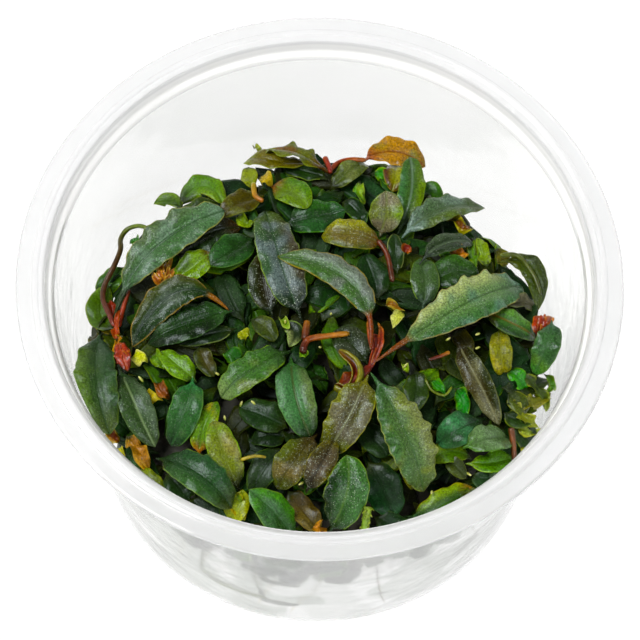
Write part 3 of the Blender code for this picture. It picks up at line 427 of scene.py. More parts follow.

# Painted glints: tiny pale dots between the leaves, made as pale tips of roots and shoots, in plan
PAINTED_GLINT_DOTS = ((-5.6, -4.9), (-12.4, -19.8), (-10.4, -19.6), (-6.4, -19.2), (-15.0, -22.2),
             (0.3, -9.4), (-16.5, -14.5), (1.0, -28.1), (-2.2, -32.9), (-3.9, -26.1),
             (16.5, -32.6), (19.1, -32.9), (25.2, -29.3), (14.4, -12.3), (26.5, -8.0),
             (21.5, -7.0), (26.5, -5.5), (-29.2, -14.7), (-7.7, -1.1), (2.0, -3.2))


def linear(level):
    """One sRGB channel, 0 to 1, as linear light."""
    if level <= 0.04045:
        return level / 12.92
    return ((level + 0.055) / 1.055) ** 2.4


def colour(code):
    """A hex sRGB colour as linear light."""
    return Vector([linear(int(code[i:i + 2], 16) / 255) for i in (0, 2, 4)])


class PlantCupCup(bpy.types.PropertyGroup):
    """Settings of the cup"""
    turns: bpy.props.IntProperty(
        name="Steps Round", description="Steps in which the cup's section is turned once round",
        default=240, min=24)
    tint: bpy.props.FloatVectorProperty(
        name="Tint", description="Colour that the clear plastic gives light", subtype="COLOR",
        default=tuple(colour("F7F8F7")))


class PlantCupLeaves(bpy.types.PropertyGroup):
    """Settings of the leaves"""
    thickness: bpy.props.FloatProperty(
        name="Blade Thickness", description="Thickness of a blade at its midrib", unit="LENGTH",
        default=0.00032)
    fold: bpy.props.FloatProperty(
        name="Fold", description="How far the margins stand above the midrib", subtype="FACTOR",
        default=0.16, min=0.0, max=1.0)
    speckle: bpy.props.FloatProperty(
        name="Speckle Pitch", description="Spacing of the pale speckles", unit="LENGTH",
        default=0.00026)


class PlantCupGrowth(bpy.types.PropertyGroup):
    """Settings of the lower growth"""
    top_leaves: bpy.props.IntProperty(
        name="Leaves in the Top", description="Small shaded leaves under the large ones",
        default=300, min=0)
    side_leaves: bpy.props.IntProperty(
        name="Leaves at the Side", description="Small shaded leaves round the side",
        default=380, min=0)
    roots: bpy.props.IntProperty(
        name="Roots", description="Thin roots that wander over the cup's floor",
        default=46, min=0)


class PlantCupStage(bpy.types.PropertyGroup):
    """Settings of the table and the lights"""
    floor: bpy.props.FloatVectorProperty(
        name="Floor", description="Colour of the light table under the cup", subtype="COLOR",
        default=tuple(colour("454545")))
    glow: bpy.props.FloatProperty(
        name="Floor Glow", description="How brightly the table shines from below",
        default=0.97, min=0.0)
    key: bpy.props.FloatProperty(
        name="Key Light", description="Power of the large light overhead", unit="POWER",
        default=6.6)


UP = Vector((0, 0, 1))


def smooth(low, high, value):
    """0 below low, 1 above high, and a smooth step between them."""
    share = min(1.0, max(0.0, (value - low) / (high - low)))
    return share * share * (3 - 2 * share)


def add(tree, kind, inputs=None, **settings):
    """Adds a shader node of a kind to a tree, with its settings, values and links."""
    node = tree.nodes.new("ShaderNode" + kind)
    for name, value in settings.items():
        setattr(node, name, value)
    for name, value in (inputs or {}).items():
        if isinstance(value, bpy.types.NodeSocket):
            tree.links.new(value, node.inputs[name])
        else:
            node.inputs[name].default_value = value
    return node


def new_material(name):
    """An empty node material, with its tree and its Principled shader."""
    material = bpy.data.materials.new(name)
    material.use_nodes = True
    tree = material.node_tree
    return material, tree, tree.nodes["Principled BSDF"]


def paint(code):
    """A hex sRGB colour as a colour socket takes it."""
    return (*colour(code), 1.0)


def mix_colours(tree, share, first, second):
    """A colour that runs from first to second by share."""
    node = tree.nodes.new("ShaderNodeMix")
    node.data_type = "RGBA"
    sockets = {socket.identifier: socket for socket in node.inputs}
    for name, value in (("Factor_Float", share), ("A_Color", first), ("B_Color", second)):
        if isinstance(value, bpy.types.NodeSocket):
            tree.links.new(value, sockets[name])
        else:
            sockets[name].default_value = value
    return next(socket for socket in node.outputs if socket.type == "RGBA")


def leaf_material(name, roughness, speckles, pits, gloss=0.5):
    """Living leaf: a thin waxy skin over green tissue.

    The wax gives a satin gloss. Pale speckles stand in it, its own pale dots and painted glints
    of its cells; the midrib is sunk, side veins run out from it, and the margin is a thin pale
    line.
    """
    pitch = bpy.context.scene.plant_cup_leaves.speckle
    material, tree, shader = new_material(name)
    tint, rim, rib, place = (add(tree, "Attribute", attribute_name=layer)
                             for layer in ("tint", "rim", "rib", "place"))
    # place holds millimetres: x from the midrib, y along the leaf, z in from the margin
    parts = add(tree, "SeparateXYZ", {"Vector": place.outputs["Vector"]})
    aside = add(tree, "Math", {0: parts.outputs["X"]}, operation="ABSOLUTE").outputs[0]
    where = add(tree, "TexCoord").outputs["Object"]

    on_rib = add(tree, "MapRange",
                 {"Value": aside, "From Min": 0.30, "From Max": 0.08}).outputs[0]
    on_rim = add(tree, "MapRange",
                 {"Value": parts.outputs["Z"], "From Min": 0.27, "From Max": 0.10}).outputs[0]
    lean = add(tree, "Math", {0: aside, 1: -1.1, 2: parts.outputs["Y"]},
               operation="MULTIPLY_ADD").outputs[0]
    wobble = add(tree, "TexNoise", {"Vector": where, "Scale": 0.6 / MILLIMETRE,
                                    "Detail": 2.0}).outputs["Fac"]
    lean = add(tree, "Math", {0: wobble, 1: 0.8, 2: lean},
               operation="MULTIPLY_ADD").outputs[0]
    # side veins lie about 0.9 mm apart
    phase = add(tree, "Math", {0: lean, 1: math.tau / 0.9},
                operation="MULTIPLY").outputs[0]
    veins = add(tree, "Math", {0: phase}, operation="SINE").outputs[0]

    cells = add(tree, "TexVoronoi", {"Vector": where, "Scale": 1.0 / pitch})
    dot = add(tree, "MapRange", {"Value": cells.outputs["Distance"], "From Min": 0.42,
                                 "From Max": 0.18}).outputs[0]
    chosen = add(tree, "SeparateColor", {"Color": cells.outputs["Color"]})
    chosen = add(tree, "MapRange", {"Value": chosen.outputs["Red"], "From Min": 0.42,
                                    "From Max": 0.95}).outputs[0]
    cloud = add(tree, "TexNoise", {"Vector": where, "Scale": 0.35 / MILLIMETRE,
                                   "Detail": 3.0}).outputs["Fac"]
    strewn = add(tree, "MapRange", {"Value": cloud, "From Min": 0.34,
                                    "From Max": 0.56}).outputs[0]
    # the tint's fourth channel says how speckled the blade is
    for share in (chosen, strewn, tint.outputs["Alpha"], speckles):
        dot = add(tree, "Math", {0: dot, 1: share}, operation="MULTIPLY").outputs[0]

    grain = add(tree, "TexNoise", {"Vector": where, "Scale": 3.0 / MILLIMETRE,
                                   "Detail": 2.0}).outputs["Fac"]
    shade = add(tree, "MapRange", {"Value": grain, "From Min": 0.3, "From Max": 0.7,
                                   "To Min": 0.5, "To Max": 1.5}).outputs[0]
    stripe = add(tree, "MapRange", {"Value": veins, "From Min": -1.0, "From Max": 1.0,
                                    "To Min": 0.96, "To Max": 1.03}).outputs[0]
    shade = add(tree, "Math", {0: shade, 1: stripe}, operation="MULTIPLY").outputs[0]
    skin = add(tree, "VectorMath", {0: tint.outputs["Color"], "Scale": shade},
               operation="SCALE").outputs[0]
    rib_share = add(tree, "Math", {0: on_rib, 1: 0.7}, operation="MULTIPLY").outputs[0]
    skin = mix_colours(tree, rib_share, skin, rib.outputs["Color"])
    # pale speckles: the leaf's own pale dots, and painted glints of its waxy cells
    skin = mix_colours(tree, dot, skin, paint("B9C6B0"))
    broken = add(tree, "MapRange", {"Value": cloud, "From Min": 0.35, "From Max": 0.65,
                                    "To Min": 0.95, "To Max": 0.35}).outputs[0]
    rim_share = add(tree, "Math", {0: on_rim, 1: broken},
                    operation="MULTIPLY").outputs[0]
    skin = mix_colours(tree, rim_share, skin, rim.outputs["Color"])
    tree.links.new(skin, shader.inputs["Base Color"])

    rough = add(tree, "MapRange", {"Value": cloud, "From Min": 0.3, "From Max": 0.7,
                                   "To Min": roughness - 0.07,
                                   "To Max": roughness + 0.10}).outputs[0]
    tree.links.new(rough, shader.inputs["Roughness"])
    shader.inputs["IOR"].default_value = 1.42
    shader.inputs["Specular IOR Level"].default_value = gloss
    # the wax gives back a cool light
    shader.inputs["Specular Tint"].default_value = paint("EAF6FF")

    height = 0.0
    for form, rise in ((on_rib, -1.2), (veins, 0.035), (cells.outputs["Distance"], -pits),
                       (cloud, 0.5)):
        height = add(tree, "Math", {0: form, 1: rise, 2: height},
                     operation="MULTIPLY_ADD").outputs[0]
    bump = add(tree, "Bump", {"Height": height, "Strength": 0.7,
                              "Distance": 0.10 * MILLIMETRE})
    tree.links.new(bump.outputs[0], shader.inputs["Normal"])
    return material


def stem_material():
    """Stems, sheaths and buds: smooth waxy tissue, ridged along its length, flecked brown."""
    material, tree, shader = new_material("waxy_stem")
    tint = add(tree, "Attribute", attribute_name="tint").outputs["Color"]
    where = add(tree, "TexCoord").outputs["Object"]
    flecks = add(tree, "TexNoise", {"Vector": where, "Scale": 1.4 / MILLIMETRE,
                                    "Detail": 3.0}).outputs["Fac"]
    shade = add(tree, "MapRange", {"Value": flecks, "From Min": 0.3, "From Max": 0.7,
                                   "To Min": 0.55, "To Max": 1.35}).outputs[0]
    skin = add(tree, "VectorMath", {0: tint, "Scale": shade},
               operation="SCALE").outputs[0]
    tree.links.new(skin, shader.inputs["Base Color"])
    rough = add(tree, "MapRange", {"Value": flecks, "From Min": 0.3, "From Max": 0.7,
                                   "To Min": 0.28, "To Max": 0.46}).outputs[0]
    tree.links.new(rough, shader.inputs["Roughness"])
    shader.inputs["Subsurface Weight"].default_value = 0.12
    shader.inputs["Subsurface Radius"].default_value = (0.0006, 0.0003, 0.0001)
    bump = add(tree, "Bump", {"Height": flecks, "Strength": 0.5,
                              "Distance": 0.12 * MILLIMETRE})
    tree.links.new(bump.outputs[0], shader.inputs["Normal"])
    return material


def root_material():
    """Roots and old stem bases: fibrous, brown to pale, and dull where no light reaches."""
    material, tree, shader = new_material("fibrous_root")
    tint = add(tree, "Attribute", attribute_name="tint").outputs["Color"]
    where = add(tree, "TexCoord").outputs["Object"]
    fibres = add(tree, "TexNoise", {"Vector": where, "Scale": 0.9 / MILLIMETRE,
                                    "Detail": 5.0}).outputs["Fac"]
    shade = add(tree, "MapRange", {"Value": fibres, "From Min": 0.3, "From Max": 0.7,
                                   "To Min": 0.5, "To Max": 1.5}).outputs[0]
    skin = add(tree, "VectorMath", {0: tint, "Scale": shade},
               operation="SCALE").outputs[0]
    tree.links.new(skin, shader.inputs["Base Color"])
    shader.inputs["Roughness"].default_value = 0.72
    bump = add(tree, "Bump", {"Height": fibres, "Strength": 0.8,
                              "Distance": 0.3 * MILLIMETRE})
    tree.links.new(bump.outputs[0], shader.inputs["Normal"])
    return material


def cup_waves(tree):
    """Slow waves left by the forming, some 9 mm across."""
    where = add(tree, "TexCoord").outputs["Object"]
    waves = add(tree, "TexNoise", {"Vector": where, "Scale": 0.11 / MILLIMETRE,
                                   "Detail": 2.0}).outputs["Fac"]
    return where, waves


def finish_plastic(tree, shader, skin, waves, clearness):
    """Gives a shader the smooth, faintly wavy surface of formed plastic."""
    tree.links.new(skin, shader.inputs["Base Color"])
    shader.inputs["Transmission Weight"].default_value = clearness
    shader.inputs["IOR"].default_value = 1.45
    shader.inputs["Roughness"].default_value = 0.08
    bump = add(tree, "Bump", {"Height": waves, "Strength": 0.25,
                              "Distance": 0.5 * MILLIMETRE})
    tree.links.new(bump.outputs[0], shader.inputs["Normal"])


def cup_material():
    """Clear polypropylene: it lets light through, is faintly milky, and greyer in patches low on
    its front half.
    """
    material, tree, shader = new_material("clear_polypropylene")
    tint = bpy.context.scene.plant_cup_cup.tint
    where, waves = cup_waves(tree)
    skin = mix_colours(tree, waves, (*tint, 1.0), paint("FCFCFC"))
    # the wall's front half is greyer between white patches with clear edges, some 12 mm across
    patches = add(tree, "TexNoise", {"Vector": where, "Scale": 0.08 / MILLIMETRE,
                                     "Detail": 1.0}).outputs["Fac"]
    front_grey = add(tree, "MapRange", {"Value": patches, "From Min": 0.52,
                                   "From Max": 0.49}).outputs[0]
    parts = add(tree, "SeparateXYZ", {"Vector": where})
    in_front = add(tree, "MapRange", {"Value": parts.outputs["Y"],
                                      "From Min": 12 * MILLIMETRE,
                                      "From Max": -14 * MILLIMETRE}).outputs[0]
    low = add(tree, "MapRange", {"Value": parts.outputs["Z"],
                                 "From Min": 52 * MILLIMETRE,
                                 "From Max": 44 * MILLIMETRE}).outputs[0]
    for share in (in_front, low):
        front_grey = add(tree, "Math", {0: front_grey, 1: share}, operation="MULTIPLY").outputs[0]
    skin = mix_colours(tree, front_grey, skin, paint("E5E7E4"))
    finish_plastic(tree, shader, skin, waves, 0.90)
    return material


def rim_material():
    """The rim's thicker polypropylene: the same plastic, milkier, so that it looks white."""
    material, tree, shader = new_material("milky_polypropylene")
    where, waves = cup_waves(tree)
    skin = mix_colours(tree, waves, paint("DFE0E1"), paint("E3E3E5"))
    # the step under the flange is thin again, and paler
    height = add(tree, "SeparateXYZ", {"Vector": where}).outputs["Z"]
    step = add(tree, "MapRange", {"Value": height, "From Min": 58.9 * MILLIMETRE,
                                  "From Max": 58.5 * MILLIMETRE}).outputs[0]
    skin = mix_colours(tree, step, skin, paint("F0F0F0"))
    finish_plastic(tree, shader, skin, waves, 0.6)
    return material


def table_material():
    """White acrylic light table: matt, with a trace of cloudiness, and lit evenly from below."""
    material, tree, shader = new_material("white_acrylic")
    tint = bpy.context.scene.plant_cup_stage.floor
    where = add(tree, "TexCoord").outputs["Object"]
    cloud = add(tree, "TexNoise", {"Vector": where,
                                   "Scale": 0.02 / MILLIMETRE}).outputs["Fac"]
    skin = mix_colours(tree, cloud, (*tint, 1.0), paint("505050"))
    tree.links.new(skin, shader.inputs["Base Color"])
    shader.inputs["Roughness"].default_value = 0.9
    shader.inputs["Emission Color"].default_value = paint("FFFFFF")
    shader.inputs["Emission Strength"].default_value = bpy.context.scene.plant_cup_stage.glow
    return material


def finish_piece(bm, name, materials, nodes):
    """Turns a bmesh in millimetres into an object that stands for nodes of the frame."""
    bmesh.ops.recalc_face_normals(bm, faces=bm.faces[:])
    bmesh.ops.scale(bm, vec=Vector((1, 1, 1)) * MILLIMETRE, verts=bm.verts[:])
    mesh = bpy.data.meshes.new(name)
    bm.to_mesh(mesh)
    bm.free()
    mesh.shade_smooth()
    for material in materials:
        mesh.materials.append(material)
    piece = bpy.data.objects.new(name, mesh)
    bpy.context.scene.collection.objects.link(piece)
    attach(piece, "root")
    for node in nodes:
        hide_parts(node)
    return piece


def finish_growth(bm, name, material):
    """Turns a bmesh into a piece that stands for the solid of the lower growth."""
    finish_piece(bm, name, [material], ["lower_growth"])


Spot = namedtuple("Spot", "point tint rim rib place")
PLAIN = Vector((0.5, 0.5, 0.5))
# Millimetres from a midrib and a margin at which neither shows
FAR = 9.0


def stem_spot(point, tint):
    """A point of a skin that has no midrib and no margin."""
    return Spot(point, tint, PLAIN, PLAIN, (FAR, 0.0, FAR))


def grow_skin(bm, columns, rows, spot_of, speckle=STEM_SPECKLE):
    """Adds a closed skin: a grid whose sides meet and whose ends close to a point.

    spot_of(around, row) gives a Spot, for around from 0 to 1 and the grid's rows. speckle is
    how speckled the skin is.
    """
    colours = bm.verts.layers.float_color
    places = bm.verts.layers.float_vector
    tint, rim, rib = [colours.get(name) or colours.new(name) for name in ("tint", "rim", "rib")]
    place = places.get("place") or places.new("place")
    made = bmesh.ops.create_grid(bm, x_segments=columns, y_segments=rows, size=0.5)["verts"]
    for vert in made:
        around = round((vert.co.x + 0.5) * columns) % columns / columns
        row = round((vert.co.y + 0.5) * rows)
        spot = spot_of(around, row)
        vert.co = spot.point
        vert[tint] = (*spot.tint, speckle)
        vert[rim] = (*spot.rim, 1.0)
        vert[rib] = (*spot.rib, 1.0)
        vert[place] = spot.place
    bmesh.ops.remove_doubles(bm, verts=made, dist=MERGE_DISTANCE)


def wall_radius(height):
    """The cup's outer wall radius at a height above its base fillet."""
    share = (height - BASE_FILLET) / (WALL_TOP_HEIGHT - BASE_FILLET)
    return BASE_RADIUS + (WALL_TOP_RADIUS - BASE_RADIUS) * share


def canopy(x, y):
    """Height of the plants' rounded top above the table."""
    spread = (x * x + (y - CANOPY_CENTRE_Y) ** 2) / CANOPY_REACH ** 2
    return CANOPY_TOP - CANOPY_FALL * spread ** 2


def raised(x, y, lift):
    """The point of the rounded top at x, y, raised towards the eye."""
    foot = Vector((x, y, canopy(x, y)))
    return foot + (EYE - foot).normalized() * lift


def inside_cup(point):
    """The point, drawn in where it would come too near the cup's wall or floor."""
    reach = wall_radius(min(max(point.z, BASE_FILLET), WALL_TOP_HEIGHT)) - WALL - WALL_GAP
    radius = math.hypot(point.x, point.y)
    height = max(point.z, FLOOR + FLOOR_GAP)
    if radius <= reach:
        return Vector((point.x, point.y, height))
    return Vector((point.x * reach / radius, point.y * reach / radius, height))


def bow(start, middle, end, share):
    """A value at a share of the bow from start to end that passes the middle half way."""
    pull = 2 * middle - (start + end) / 2
    return (1 - share) ** 2 * start + 2 * share * (1 - share) * pull + share ** 2 * end


def sides_of(ahead, up=UP):
    """The ways to the right of a way ahead and square to both, on the side of up."""
    right = ahead.cross(up).normalized()
    return right, right.cross(ahead).normalized()


def lift_weights(share):
    """How much the lifts of base, middle and tip count at a share of the length."""
    return ((1 - share) ** 2, 2 * share * (1 - share), share ** 2)


def midrib(leaf, lifts, share):
    """A point of a leaf's midrib."""
    spot = bow(Vector(leaf.base), Vector(leaf.middle), Vector(leaf.tip), share)
    lift = sum(l * w for l, w in zip(lifts, lift_weights(share)))
    return raised(spot.x, spot.y, lift)


def settled_lift(corners, x, y, count):
    """How far a solid's midrib stands off the rounded top at x, y.

    It is the mean of the count corners that lie nearest to the line towards the eye.
    """
    foot = Vector((x, y, canopy(x, y)))
    line = (EYE - foot).normalized()
    near = sorted(corners, key=lambda c: (c - foot - line * (c - foot).dot(line)).length)[:count]
    return sum((c - foot).dot(line) for c in near) / count


def settled_corners(name):
    """The corners of a solid of the frame, in millimetres, each once."""
    corners = {}
    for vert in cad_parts[name].data.vertices:
        corner = vert.co / MILLIMETRE
        corners[tuple(round(value, 2) for value in corner)] = corner
    return list(corners.values())


def settled_lifts(leaf):
    """The lifts with which a leaf's solid lies in the clump."""
    corners = settled_corners(leaf.name)
    base = settled_lift(corners, *leaf.base, 1)
    tip = settled_lift(corners, *leaf.tip, 1)
    middle = settled_lift(corners, *leaf.middle, 2)
    return (base, 2 * middle - (base + tip) / 2, tip)


# A petiole's radius is a share of its blade's width, up to a limit
PETIOLE_RADIUS = 0.48
PETIOLE_SHARE = 0.085
# How far along a leaf its petiole has turned into the blade
PETIOLE_BLEND = 0.14
MARGIN_THICKNESS = 0.10
# Share of a length over which its direction is taken
NEAR = 0.02

Station = namedtuple("Station", "centre right normal half blade run petiole ruffle")


def half_width(leaf, share):
    """Half the blade's width, in millimetres, at a share of the leaf's length."""
    if share <= leaf.stalk:
        return 0.0
    form = FORMS[leaf.form]
    blade = (share - leaf.stalk) / (1 - leaf.stalk)
    oval = math.sin(math.pi * blade ** form.skew) ** form.fullness if blade < 1 else 0.0
    ends = min(form.heel * blade, form.tip * (1 - blade))
    return leaf.width / 2 * max(0.0, soft_least(oval, ends, 0.12))


def soft_least(first, second, blend):
    """The lesser of two values, rounded over where they cross."""
    share = min(1.0, max(0.0, 0.5 + 0.5 * (second - first) / blend))
    return first * share + second * (1 - share) - blend * share * (1 - share) * 0.6


def leaf_stations(leaf, lifts, rows, chance, vigour=1.0):
    """The leaf's stations from base to tip: where its midrib runs and how wide it is there.

    By chance the blade twists by some degrees, buckles along its length and curls at its tip.
    """
    twist = chance.uniform(-9, 9) * vigour
    buckle = chance.uniform(0.10, 0.28) * vigour
    phase = chance.uniform(0, math.tau)
    curl = chance.uniform(-0.9, 0.5) * vigour
    stations = []
    run = 0.0
    last = None
    for row in range(rows + 1):
        share = row / rows
        ahead = midrib(leaf, lifts, share + NEAR) - midrib(leaf, lifts, share - NEAR)
        centre = midrib(leaf, lifts, share)
        right = sides_of(ahead)[0]
        turn = leaf.roll + twist * math.sin(math.pi * share + phase)
        right.rotate(Matrix.Rotation(math.radians(turn), 3, ahead))
        normal = right.cross(ahead).normalized()
        half = half_width(leaf, share)
        centre = centre + normal * (buckle * math.sin(math.tau * 1.4 * share + phase)
                                    * smooth(0, 0.3, share)
                                    + curl * smooth(0.78, 1.0, share))
        if last is not None:
            run += (centre - last).length
        last = centre
        blade = max(0.0, (share - leaf.stalk) / (1 - leaf.stalk))
        petiole = 1 - smooth(leaf.stalk, leaf.stalk + PETIOLE_BLEND, share)
        stations.append(Station(centre, right, normal, half, blade, run, petiole,
                                leaf.ruffle * min(1.0, 2 * half / leaf.width)))
    return stations


def blade_spot(leaf, colours, stations, waves, thickness, around, row):
    """A point of a leaf's skin. around 0 is its right margin, 0.25 its upper midrib.

    waves says how far the two margins' waves lag, how many there are, and how the small lag.
    """
    station = stations[row]
    side = math.cos(math.tau * around)
    over = math.sin(math.tau * around)
    last = len(stations) - 1
    if row in (0, last):
        tint = leaf_tint(leaf, colours, 0.0, station.blade, station.centre)
        return Spot(inside_cup(station.centre), tint, colours.rim, colours.rib,
                    (0.0, station.run, 0.0))
    lag, turns, nick = waves
    hand = 1 if side > 0 else -1
    edge = abs(side)
    share = row / last
    wave = math.sin(math.tau * turns * share + hand * lag)
    small = math.sin(math.tau * turns * 1.9 * share + hand * nick)
    half = station.half * (1 + min(0.8, leaf.ruffle) * edge * (0.07 * small + 0.06 * wave))
    # the petiole is round and drawn in at its ends
    ends = min(1.0, 5.0 * share + 0.25, 12.0 * (1 - share) + 0.2)
    stem = min(PETIOLE_RADIUS, PETIOLE_SHARE * leaf.width)
    stem *= (0.35 + 0.65 * station.petiole) * ends
    reach = max(half, stem * (1 if station.petiole > 0 else 0))
    # the blade's halves arch up from the sunk midrib and bend over towards the waved margins
    fold = bpy.context.scene.plant_cup_leaves.fold
    rise = half * (0.62 * edge - (0.62 - fold) * side * side)
    rise += station.ruffle * (wave + 0.3 * small) * edge ** 3
    rise -= 0.05 * station.half * (1 - min(1.0, edge / 0.14)) * (1 - station.petiole)
    # narrow blades are thinner, and the midrib stands out underneath
    slim = min(1.0, leaf.width / 5)
    blade_thick = slim * (thickness / 2 * math.sqrt(max(0.0, 1 - side * side))
                          + MARGIN_THICKNESS / 2)
    under = 0.16 * slim * math.exp(-(side * station.half / 0.45) ** 2) if over < 0 else 0.0
    flat = blade_thick + under
    thick = flat * (1 - station.petiole) + max(stem, flat) * station.petiole
    thick *= min(1.0, 8 * (1 - share) + 0.1)
    point = (station.centre + station.right * side * reach
             + station.normal * (rise * (1 - 0.8 * station.petiole) + over * thick))
    tint = leaf_tint(leaf, colours, side * (1 - station.petiole), station.blade,
                     station.centre + station.right * side * reach)
    if over < -0.1:
        tint = tint * 0.8
    inward = (1 - edge) * reach + FAR * smooth(0.5, 0.9, station.petiole)
    aside = side * reach + hand * FAR * smooth(0.5, 0.9, station.petiole)
    return Spot(inside_cup(point), tint, colours.rim, colours.rib, (aside, station.run, inward))


def leaf_tint(leaf, colours, side, blade, spot):
    """The leaf's colour at a spot: side runs from -1, left, to 1, right; blade, heel to tip."""
    toward = colours.left if side < 0 else colours.right
    tint = colours.body.lerp(toward, smooth(0.10, 0.75, abs(side)))
    # where a long stalk shows, the heel's colour is the stalk's
    heel_end = 0.07 if leaf.stalk > 0.15 else 0.30
    tint = tint.lerp(colours.tip, smooth(0.66, 0.98, blade))
    # patches: the blade's own blotches, and painted sheen where they are pale blue-grey or
    # lavender
    if colours.spread:
        cloud = 0.5 + 0.75 * noise.noise(spot * 0.33 + Vector((7, 3, 1)))
        share = smooth(0.85 - colours.spread, 1.15 - colours.spread, cloud)
        tint = tint.lerp(colours.patch, 0.75 * share)
    # painted shade: each blade darkens towards its heel, where it lies under other leaves
    tint = tint * (0.72 + 0.28 * smooth(0.0, 0.35, blade))
    return tint.lerp(colours.heel, 1 - smooth(0.0, heel_end, blade))


# Share of a leaf's seen colour that is its own, and how much warmer it is than the seen one,
# which the gloss greys. Dark tissue is warmer and deeper still.
OWN_SHARE = 0.60
PURITY = 1.16
WARMTH = Vector((1.02, 1.0, 0.50))
DARK_WARMTH = Vector((0.90, 0.80, 0.20))
# How much red, green and blue light count in a grey of the same brightness
GREY_SHARES = Vector((0.2126, 0.7152, 0.0722))


def own_colour(code, painted_light_level=1.0):
    """A living surface's own colour, from the hex colour that is seen under the lights. A light
    level below 1 darkens it as painted shade.
    """
    seen = colour(code)
    grey = seen.dot(GREY_SHARES)
    pure = Vector([max(0.0, grey + (channel - grey) * PURITY) for channel in seen])
    pure *= DARK_WARMTH.lerp(WARMTH, smooth(0.03, 0.20, grey))
    # red tissue holds some yellow and next to no blue
    redness = max(0.0, pure.x - 1.4 * pure.y)
    pure = Vector((pure.x, pure.y + 0.045 * redness, pure.z / (1 + 20 * redness)))
    return pure * painted_light_level * OWN_SHARE


def painted(colours, painted_light_level=1.0):
    """A look with its hex colours as linear light. A light level below 1 darkens them as painted
    shade, for a leaf that lies in shade.
    """
    own = [own_colour(code, painted_light_level) for code in colours[:-1]]
    return Look(*own, colours.spread)


def grow_leaf(bm, leaf, lifts, columns, rows, painted_light_level=1.0, vigour=1.0):
    """Adds a leaf's skin to bm. vigour is how much it twists, buckles and curls. A light level
    below 1 darkens its colours as painted shade.
    """
    chance = random.Random(leaf.name)
    colours = painted(leaf.look, painted_light_level)
    stations = leaf_stations(leaf, lifts, rows, chance, vigour)
    waves = (chance.uniform(0.6, 2.2), chance.uniform(0.20, 0.27) * stations[-1].run,
             chance.uniform(0, 3))
    thickness = bpy.context.scene.plant_cup_leaves.thickness / MILLIMETRE
    grow_skin(bm, columns, rows, lambda around, row: blade_spot(
        leaf, colours, stations, waves, thickness, around, row),
        SPECKLE_OF.get(leaf.name, PLAIN_SPECKLE))


def curve_point(route, share):
    """A point of a smooth curve through the route's points."""
    place = min(max(share, 0.0), 1.0) * (len(route) - 1)
    span = min(int(place), len(route) - 2)
    part = place - span
    before, start, end, after = (
        Vector(route[min(max(span + k, 0), len(route) - 1)]) for k in (-1, 0, 1, 2))
    return 0.5 * (2 * start + (end - before) * part
                  + (2 * before - 5 * start + 4 * end - after) * part ** 2
                  + (3 * start - before - 3 * end + after) * part ** 3)


def course(route, share):
    """The direction of a smooth curve at a share of its length."""
    return (curve_point(route, share + NEAR) - curve_point(route, share - NEAR)).normalized()


def grow_stem(bm, points, radius_of, tints, columns, rows, flat_start=False):
    """Adds a round stem along a smooth curve through points in space.

    radius_of(share, around) gives its radius; tints are its colours from start to end.
    """
    def spot_of(around, row):
        share = row / rows
        tint = curve_point(tints, share)
        if row == 0 or row == rows:
            return stem_spot(inside_cup(curve_point(points, share)), tint)
        if flat_start:
            share = max(0.0, (row - 1) / (rows - 1))
        centre = curve_point(points, share)
        ahead = course(points, share)
        right, normal = sides_of(ahead, UP if abs(ahead.z) < 0.95 else Vector((0, 1, 0)))
        turn = math.tau * around
        out = right * math.cos(turn) + normal * math.sin(turn)
        return stem_spot(inside_cup(centre + out * radius_of(share, around)), tint)
    grow_skin(bm, columns, rows, spot_of)


def settled_stalk(stalk):
    """The points in space of a stalk's middle line, as high as its solid lies."""
    corners = settled_corners(stalk.name)
    lift = settled_lift(corners, *stalk.route[0], 1)
    return [raised(x, y, lift) for x, y in stalk.route]


def stalk_radius(stalk, share):
    """A stalk's radius at a share of its length."""
    return bow(*stalk.radii, share)


def rounded_ends(share, start=0.04, end=0.04):
    """Draws a stem's ends in to round tips."""
    return math.sqrt(max(0.0, min(1.0, share / start, (1 - share) / end)))


def stalk_tints(codes):
    """The own colours of a stem, from its hex colours."""
    return [own_colour(code) for code in codes]


def grow_spike(bm, foot, tip, radius, first, second):
    """Adds a thin pointed scale or fringe between two points."""
    middle = (foot + tip) / 2 + Vector((0, 0, radius * 0.8))
    grow_stem(bm, [foot, middle, tip],
              lambda share, around: radius * (1 - 0.9 * share) * min(1.0, share / 0.2 + 0.3),
              stalk_tints([first, second]), 5, 5)


def grow_plain_stem(bm, stalk):
    """A stem with faint rings where leaves once stood."""
    def radius_of(share, around):
        ring = 1 + 0.10 * math.exp(-((share * 6.3 % 1 - 0.5) / 0.09) ** 2)
        ridge = 1 + 0.05 * math.sin(3 * math.tau * around + 9 * share)
        return stalk_radius(stalk, share) * ring * ridge * rounded_ends(share)
    grow_stem(bm, settled_stalk(stalk), radius_of, stalk_tints(stalk.colours), 14, 48)


def grow_cut_stem(bm, stalk):
    """A thick stem with a flat, pale cut at its start."""
    points = settled_stalk(stalk)

    def radius_of(share, around):
        ring = 1 + 0.12 * math.exp(-((share * 4.1 % 1 - 0.5) / 0.08) ** 2)
        return stalk_radius(stalk, share) * ring * rounded_ends(share, 0.0001, 0.05)
    grow_stem(bm, points, radius_of, stalk_tints(stalk.colours), 18, 40, flat_start=True)
    ahead = (points[1] - points[0]).normalized()
    grow_stem(bm, [points[0] + ahead * run for run in (-0.06, -0.01, 0.05)],
              lambda share, around: stalk.radii[0] * 0.86 * rounded_ends(share, 0.3, 0.3),
              stalk_tints(("EAD9A8", "D8B878", "C89A50")), 18, 6)


